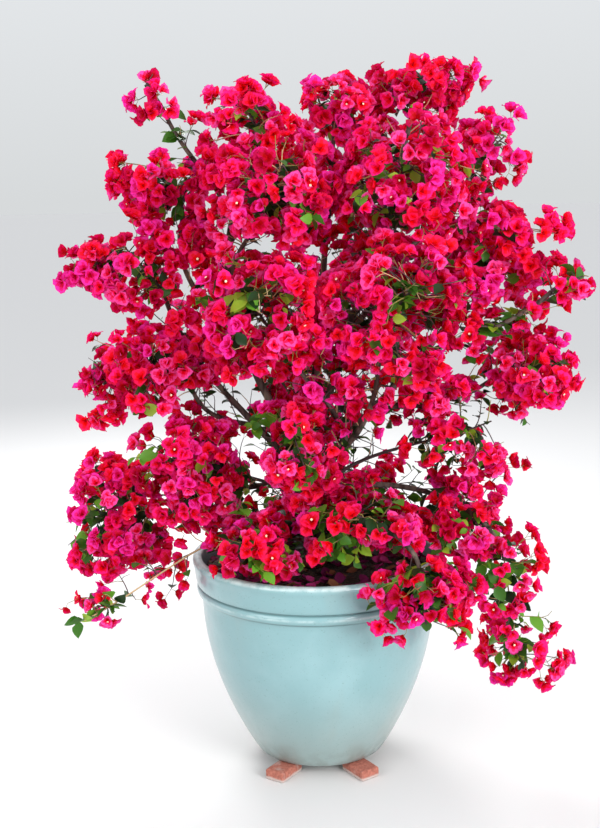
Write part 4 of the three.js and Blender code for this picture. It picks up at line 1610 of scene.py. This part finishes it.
def pot_profile():
    """The pot's outline from the middle of its underside, up the outside, over the lip and down inside."""
    foot = [(0.0, UNDERSIDE), (BASE_RADIUS - 0.008, UNDERSIDE), (BASE_RADIUS - 0.003, UNDERSIDE + 0.002)]
    body = [(body_radius(height), height) for height in np.linspace(UNDERSIDE + 0.006, BODY_TOP, BODY_RINGS)]
    collar = smooth_through([
        (BODY_RADIUS + 0.0015, LOW_GROOVE - 0.001),
        (BEAD_RADIUS - 0.004, 0.4965),
        (BEAD_RADIUS, BEAD_HEIGHT),
        (BEAD_RADIUS - 0.003, 0.5170),
        (BEAD_RADIUS - 0.0075, HIGH_GROOVE),
        (BEAD_RADIUS - 0.001, 0.5265),
        (BEAD_RADIUS + 0.003, 0.5450),
        (LIP_RADIUS - 0.004, 0.5700),
        (LIP_RADIUS, 0.5860),
        (LIP_RADIUS - 0.004, 0.5965),
        (LIP_RADIUS - 0.014, POT_TOP),
        (INNER_LIP_RADIUS + 0.004, 0.5970),
        (INNER_LIP_RADIUS, 0.5880),
    ], 4)
    floor = UNDERSIDE + POT_FLOOR
    throat_heights = np.linspace(BODY_TOP, floor, THROAT_RINGS)
    throat = [(body_radius(height) - POT_WALL, height) for height in throat_heights]
    return [*foot, *body, *collar, *throat, (0.0, floor)]


def make_pot():
    bm = bmesh.new()
    verts = [bm.verts.new((radius, 0, height)) for radius, height in pot_profile()]
    edges = [bm.edges.new(pair) for pair in zip(verts, verts[1:])]
    bmesh.ops.spin(
        bm, geom=[*verts, *edges], axis=(0, 0, 1), cent=(0, 0, 0),
        angle=math.tau, steps=POT_STEPS, use_merge=True,
    )
    bmesh.ops.remove_doubles(bm, verts=bm.verts, dist=POT_WELD)
    bmesh.ops.recalc_face_normals(bm, faces=bm.faces)
    show("glazed_pot", mesh_from("glazed_pot", bm, [glaze_finish()]), ["pot"])


def make_soil():
    """Gives the soil its finish, and lays a sheet of crumbs over it, highest in the middle."""
    solid = frame["nodes"]["soil"].data
    solid.materials.clear()
    soil = soil_finish()
    solid.materials.append(soil)
    bm = bmesh.new()
    bmesh.ops.create_grid(bm, x_segments=SOIL_CELLS, y_segments=SOIL_CELLS, size=1)
    reach = INNER_LIP_RADIUS - THROAT_ROOM
    for vert in bm.verts:
        # the square sheet is drawn in to a round one
        x, y = vert.co.x, vert.co.y
        out = reach * np.array((x * math.sqrt(1 - y * y / 2), y * math.sqrt(1 - x * x / 2)))
        slope = max(0.0, np.hypot(*out) - SOIL_FLAT_RADIUS) / (reach - SOIL_FLAT_RADIUS)
        crumbs = max(0.0, 0.5 + 0.5 * noise.fractal(Vector((*out, 0)) * CRUMB_SCALE, *FRACTAL, 5))
        vert.co = (*out, SOIL_TOP - SOIL_FALL * slope + CRUMB_LIFT + CRUMB_HEIGHT * crumbs)
    bmesh.ops.solidify(bm, geom=bm.faces, thickness=SOIL_SHEET)
    show("soil_crumbs", mesh_from("soil_crumbs", bm, [soil]))


def make_feet():
    brick = brick_finish()
    for name in ("front_right", "front_left", "back_right", "back_left"):
        low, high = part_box("foot_" + name)
        # each brick lies along a line from the pot's axis
        middle = (low + high) / 2
        turn = math.atan2(middle.y, middle.x)
        bm = bmesh.new()
        bmesh.ops.create_cube(bm, size=1)
        bmesh.ops.scale(bm, vec=(BRICK_LENGTH, BRICK_WIDTH, high.z - low.z), verts=bm.verts)
        bmesh.ops.bevel(
            bm, geom=bm.edges, offset=BRICK_BEVEL, segments=3, affect="EDGES", profile=0.5, material=-1,
        )
        bmesh.ops.subdivide_edges(bm, edges=bm.edges, cuts=2, use_grid_fill=True)
        bmesh.ops.triangulate(bm, faces=bm.faces)
        for vert in bm.verts:
            chip = max(0.0, noise.fractal(vert.co * CHIP_SCALE + middle * CHIP_SHIFT, *FRACTAL, 4))
            # about 1 in the middle of a face, 2 half way along an edge and 3 in a corner
            corner = sum(abs(part) / half for part, half in zip(vert.co, BRICK_HALF_SIZES))
            vert.co *= 1 - CHIP_DEPTH * chip * max(0.0, corner - CHIP_START)
        bmesh.ops.rotate(bm, matrix=Matrix.Rotation(turn, 3, "Z"), verts=bm.verts)
        bmesh.ops.translate(bm, vec=middle, verts=bm.verts)
        mesh = mesh_from("brick_" + name, bm, [brick], smooth=False)
        show("brick_" + name, mesh, ["foot_" + name])


def petal_shape(side, along):
    """A dry bract that lies flat, with its sides curled up a little."""
    height = PETAL_CUP * side * side + PETAL_RISE * along
    return Vector((side * BRACT_HALF_WIDTH * leaf_outline(along), (along - 0.5) * BRACT_LENGTH, height))


def petal_kinds():
    made = []
    for name, tint in PETAL_TINTS.items():
        bm = bmesh.new()
        add_blade(bm, petal_shape, 2, 4, all_one)
        bmesh.ops.remove_doubles(bm, verts=bm.verts, dist=WELD)
        finish = thin_finish(name + "_petal", tint, through=0.15, roughness=0.7)
        made.append(mesh_from(name + "_petal", bm, [finish]))
    return made


def make_fallen_petals():
    """Dry bracts that have dropped onto the soil inside the pot."""
    kinds = petal_kinds()
    dice = random.Random("fallen petals")
    lift, spare = PETAL_LIFT
    places = []
    for _ in range(PETAL_COUNT):
        out = PETAL_REACH * math.sqrt(dice.random())
        turn = dice.uniform(0, math.tau)
        height = SOIL_TOP + lift + dice.uniform(0, spare)
        point = np.array((out * math.cos(turn), out * math.sin(turn), height))
        normal = UP + scatter(dice) * PETAL_LEAN
        turned = turned_to(across(UP, dice.uniform(0, math.tau)), normal)
        places.append((point, turned, dice.uniform(*PETAL_SIZES), dice.randrange(len(kinds))))
    show("fallen_petals", spread("fallen_petals", kinds, places))


make_pot()
make_soil()
make_feet()
make_limbs()
make_foliage()
make_fallen_petals()


# Floor, light and camera

FLOOR_HALF_SIZE = 150
FLOOR_COLOUR = (0.72, 0.71, 0.70, 1)
LOW_SKY = (0.68, 0.70, 0.71, 1)
HIGH_SKY = (0.93, 0.96, 1.00, 1)
SKY_RISE = 0.45
LAMP_TARGET = Vector((0, 0, 1.0))
SENSOR_WIDTH = 36
PITCH = 0.1794
ROLL = 0.0217
LENS_PIXELS = 1200
FRAME_HEIGHT = 828

# name, place, width across and watts
LAMPS = (
    ("key", (3.0, -3.7, 2.1), 2.4, 185),
    ("fill", (-3.0, -3.0, 2.4), 2.4, 62),
    ("back", (-1.2, 3.6, 3.8), 2.6, 150),
)


def make_floor():
    bm = bmesh.new()
    bmesh.ops.create_grid(bm, x_segments=1, y_segments=1, size=FLOOR_HALF_SIZE)
    finish = Finish("pale_floor", base_color=FLOOR_COLOUR, roughness=0.9)
    floor = add_object("floor", mesh_from("floor", bm, [finish.material], smooth=False))


def add_soft_light(name, at, size, watts):
    light = bpy.data.lights.new(name, "AREA")
    light.shape, light.size, light.energy = "DISK", size, watts
    lamp = add_object(name, light)
    lamp.location = at
    lamp.rotation_euler = (LAMP_TARGET - Vector(at)).to_track_quat("-Z", "Y").to_euler()


def make_surroundings():
    """Even light from all round, dimmer low down, where it meets the floor."""
    world = bpy.data.worlds.new("studio")
    bpy.context.scene.world = world
    world.use_nodes = True
    node, link = world.node_tree.nodes.new, world.node_tree.links.new
    direction, split, rise, blend = (
        node("ShaderNode" + kind) for kind in ("TexCoord", "SeparateXYZ", "MapRange", "MixRGB")
    )
    rise.inputs["From Max"].default_value = SKY_RISE
    blend.inputs["Color1"].default_value = LOW_SKY
    blend.inputs["Color2"].default_value = HIGH_SKY
    link(direction.outputs["Generated"], split.inputs[0])
    link(split.outputs["Z"], rise.inputs["Value"])
    link(rise.outputs[0], blend.inputs["Fac"])
    link(blend.outputs[0], world.node_tree.nodes["Background"].inputs["Color"])


def make_camera():
    data = bpy.data.cameras.new("camera")
    data.sensor_width = SENSOR_WIDTH
    data.lens = SENSOR_WIDTH * LENS_PIXELS / FRAME_HEIGHT
    camera = add_object("camera", data)
    camera.location = VIEWER
    turned = Matrix.Rotation(math.pi / 2 - PITCH, 3, "X") @ Matrix.Rotation(-ROLL, 3, "Z")
    camera.rotation_euler = turned.to_euler()
    bpy.context.scene.camera = camera


make_floor()
make_surroundings()
for lamp in LAMPS:
    add_soft_light(*lamp)
bpy.context.scene.view_settings.view_transform = "Standard"
make_camera()
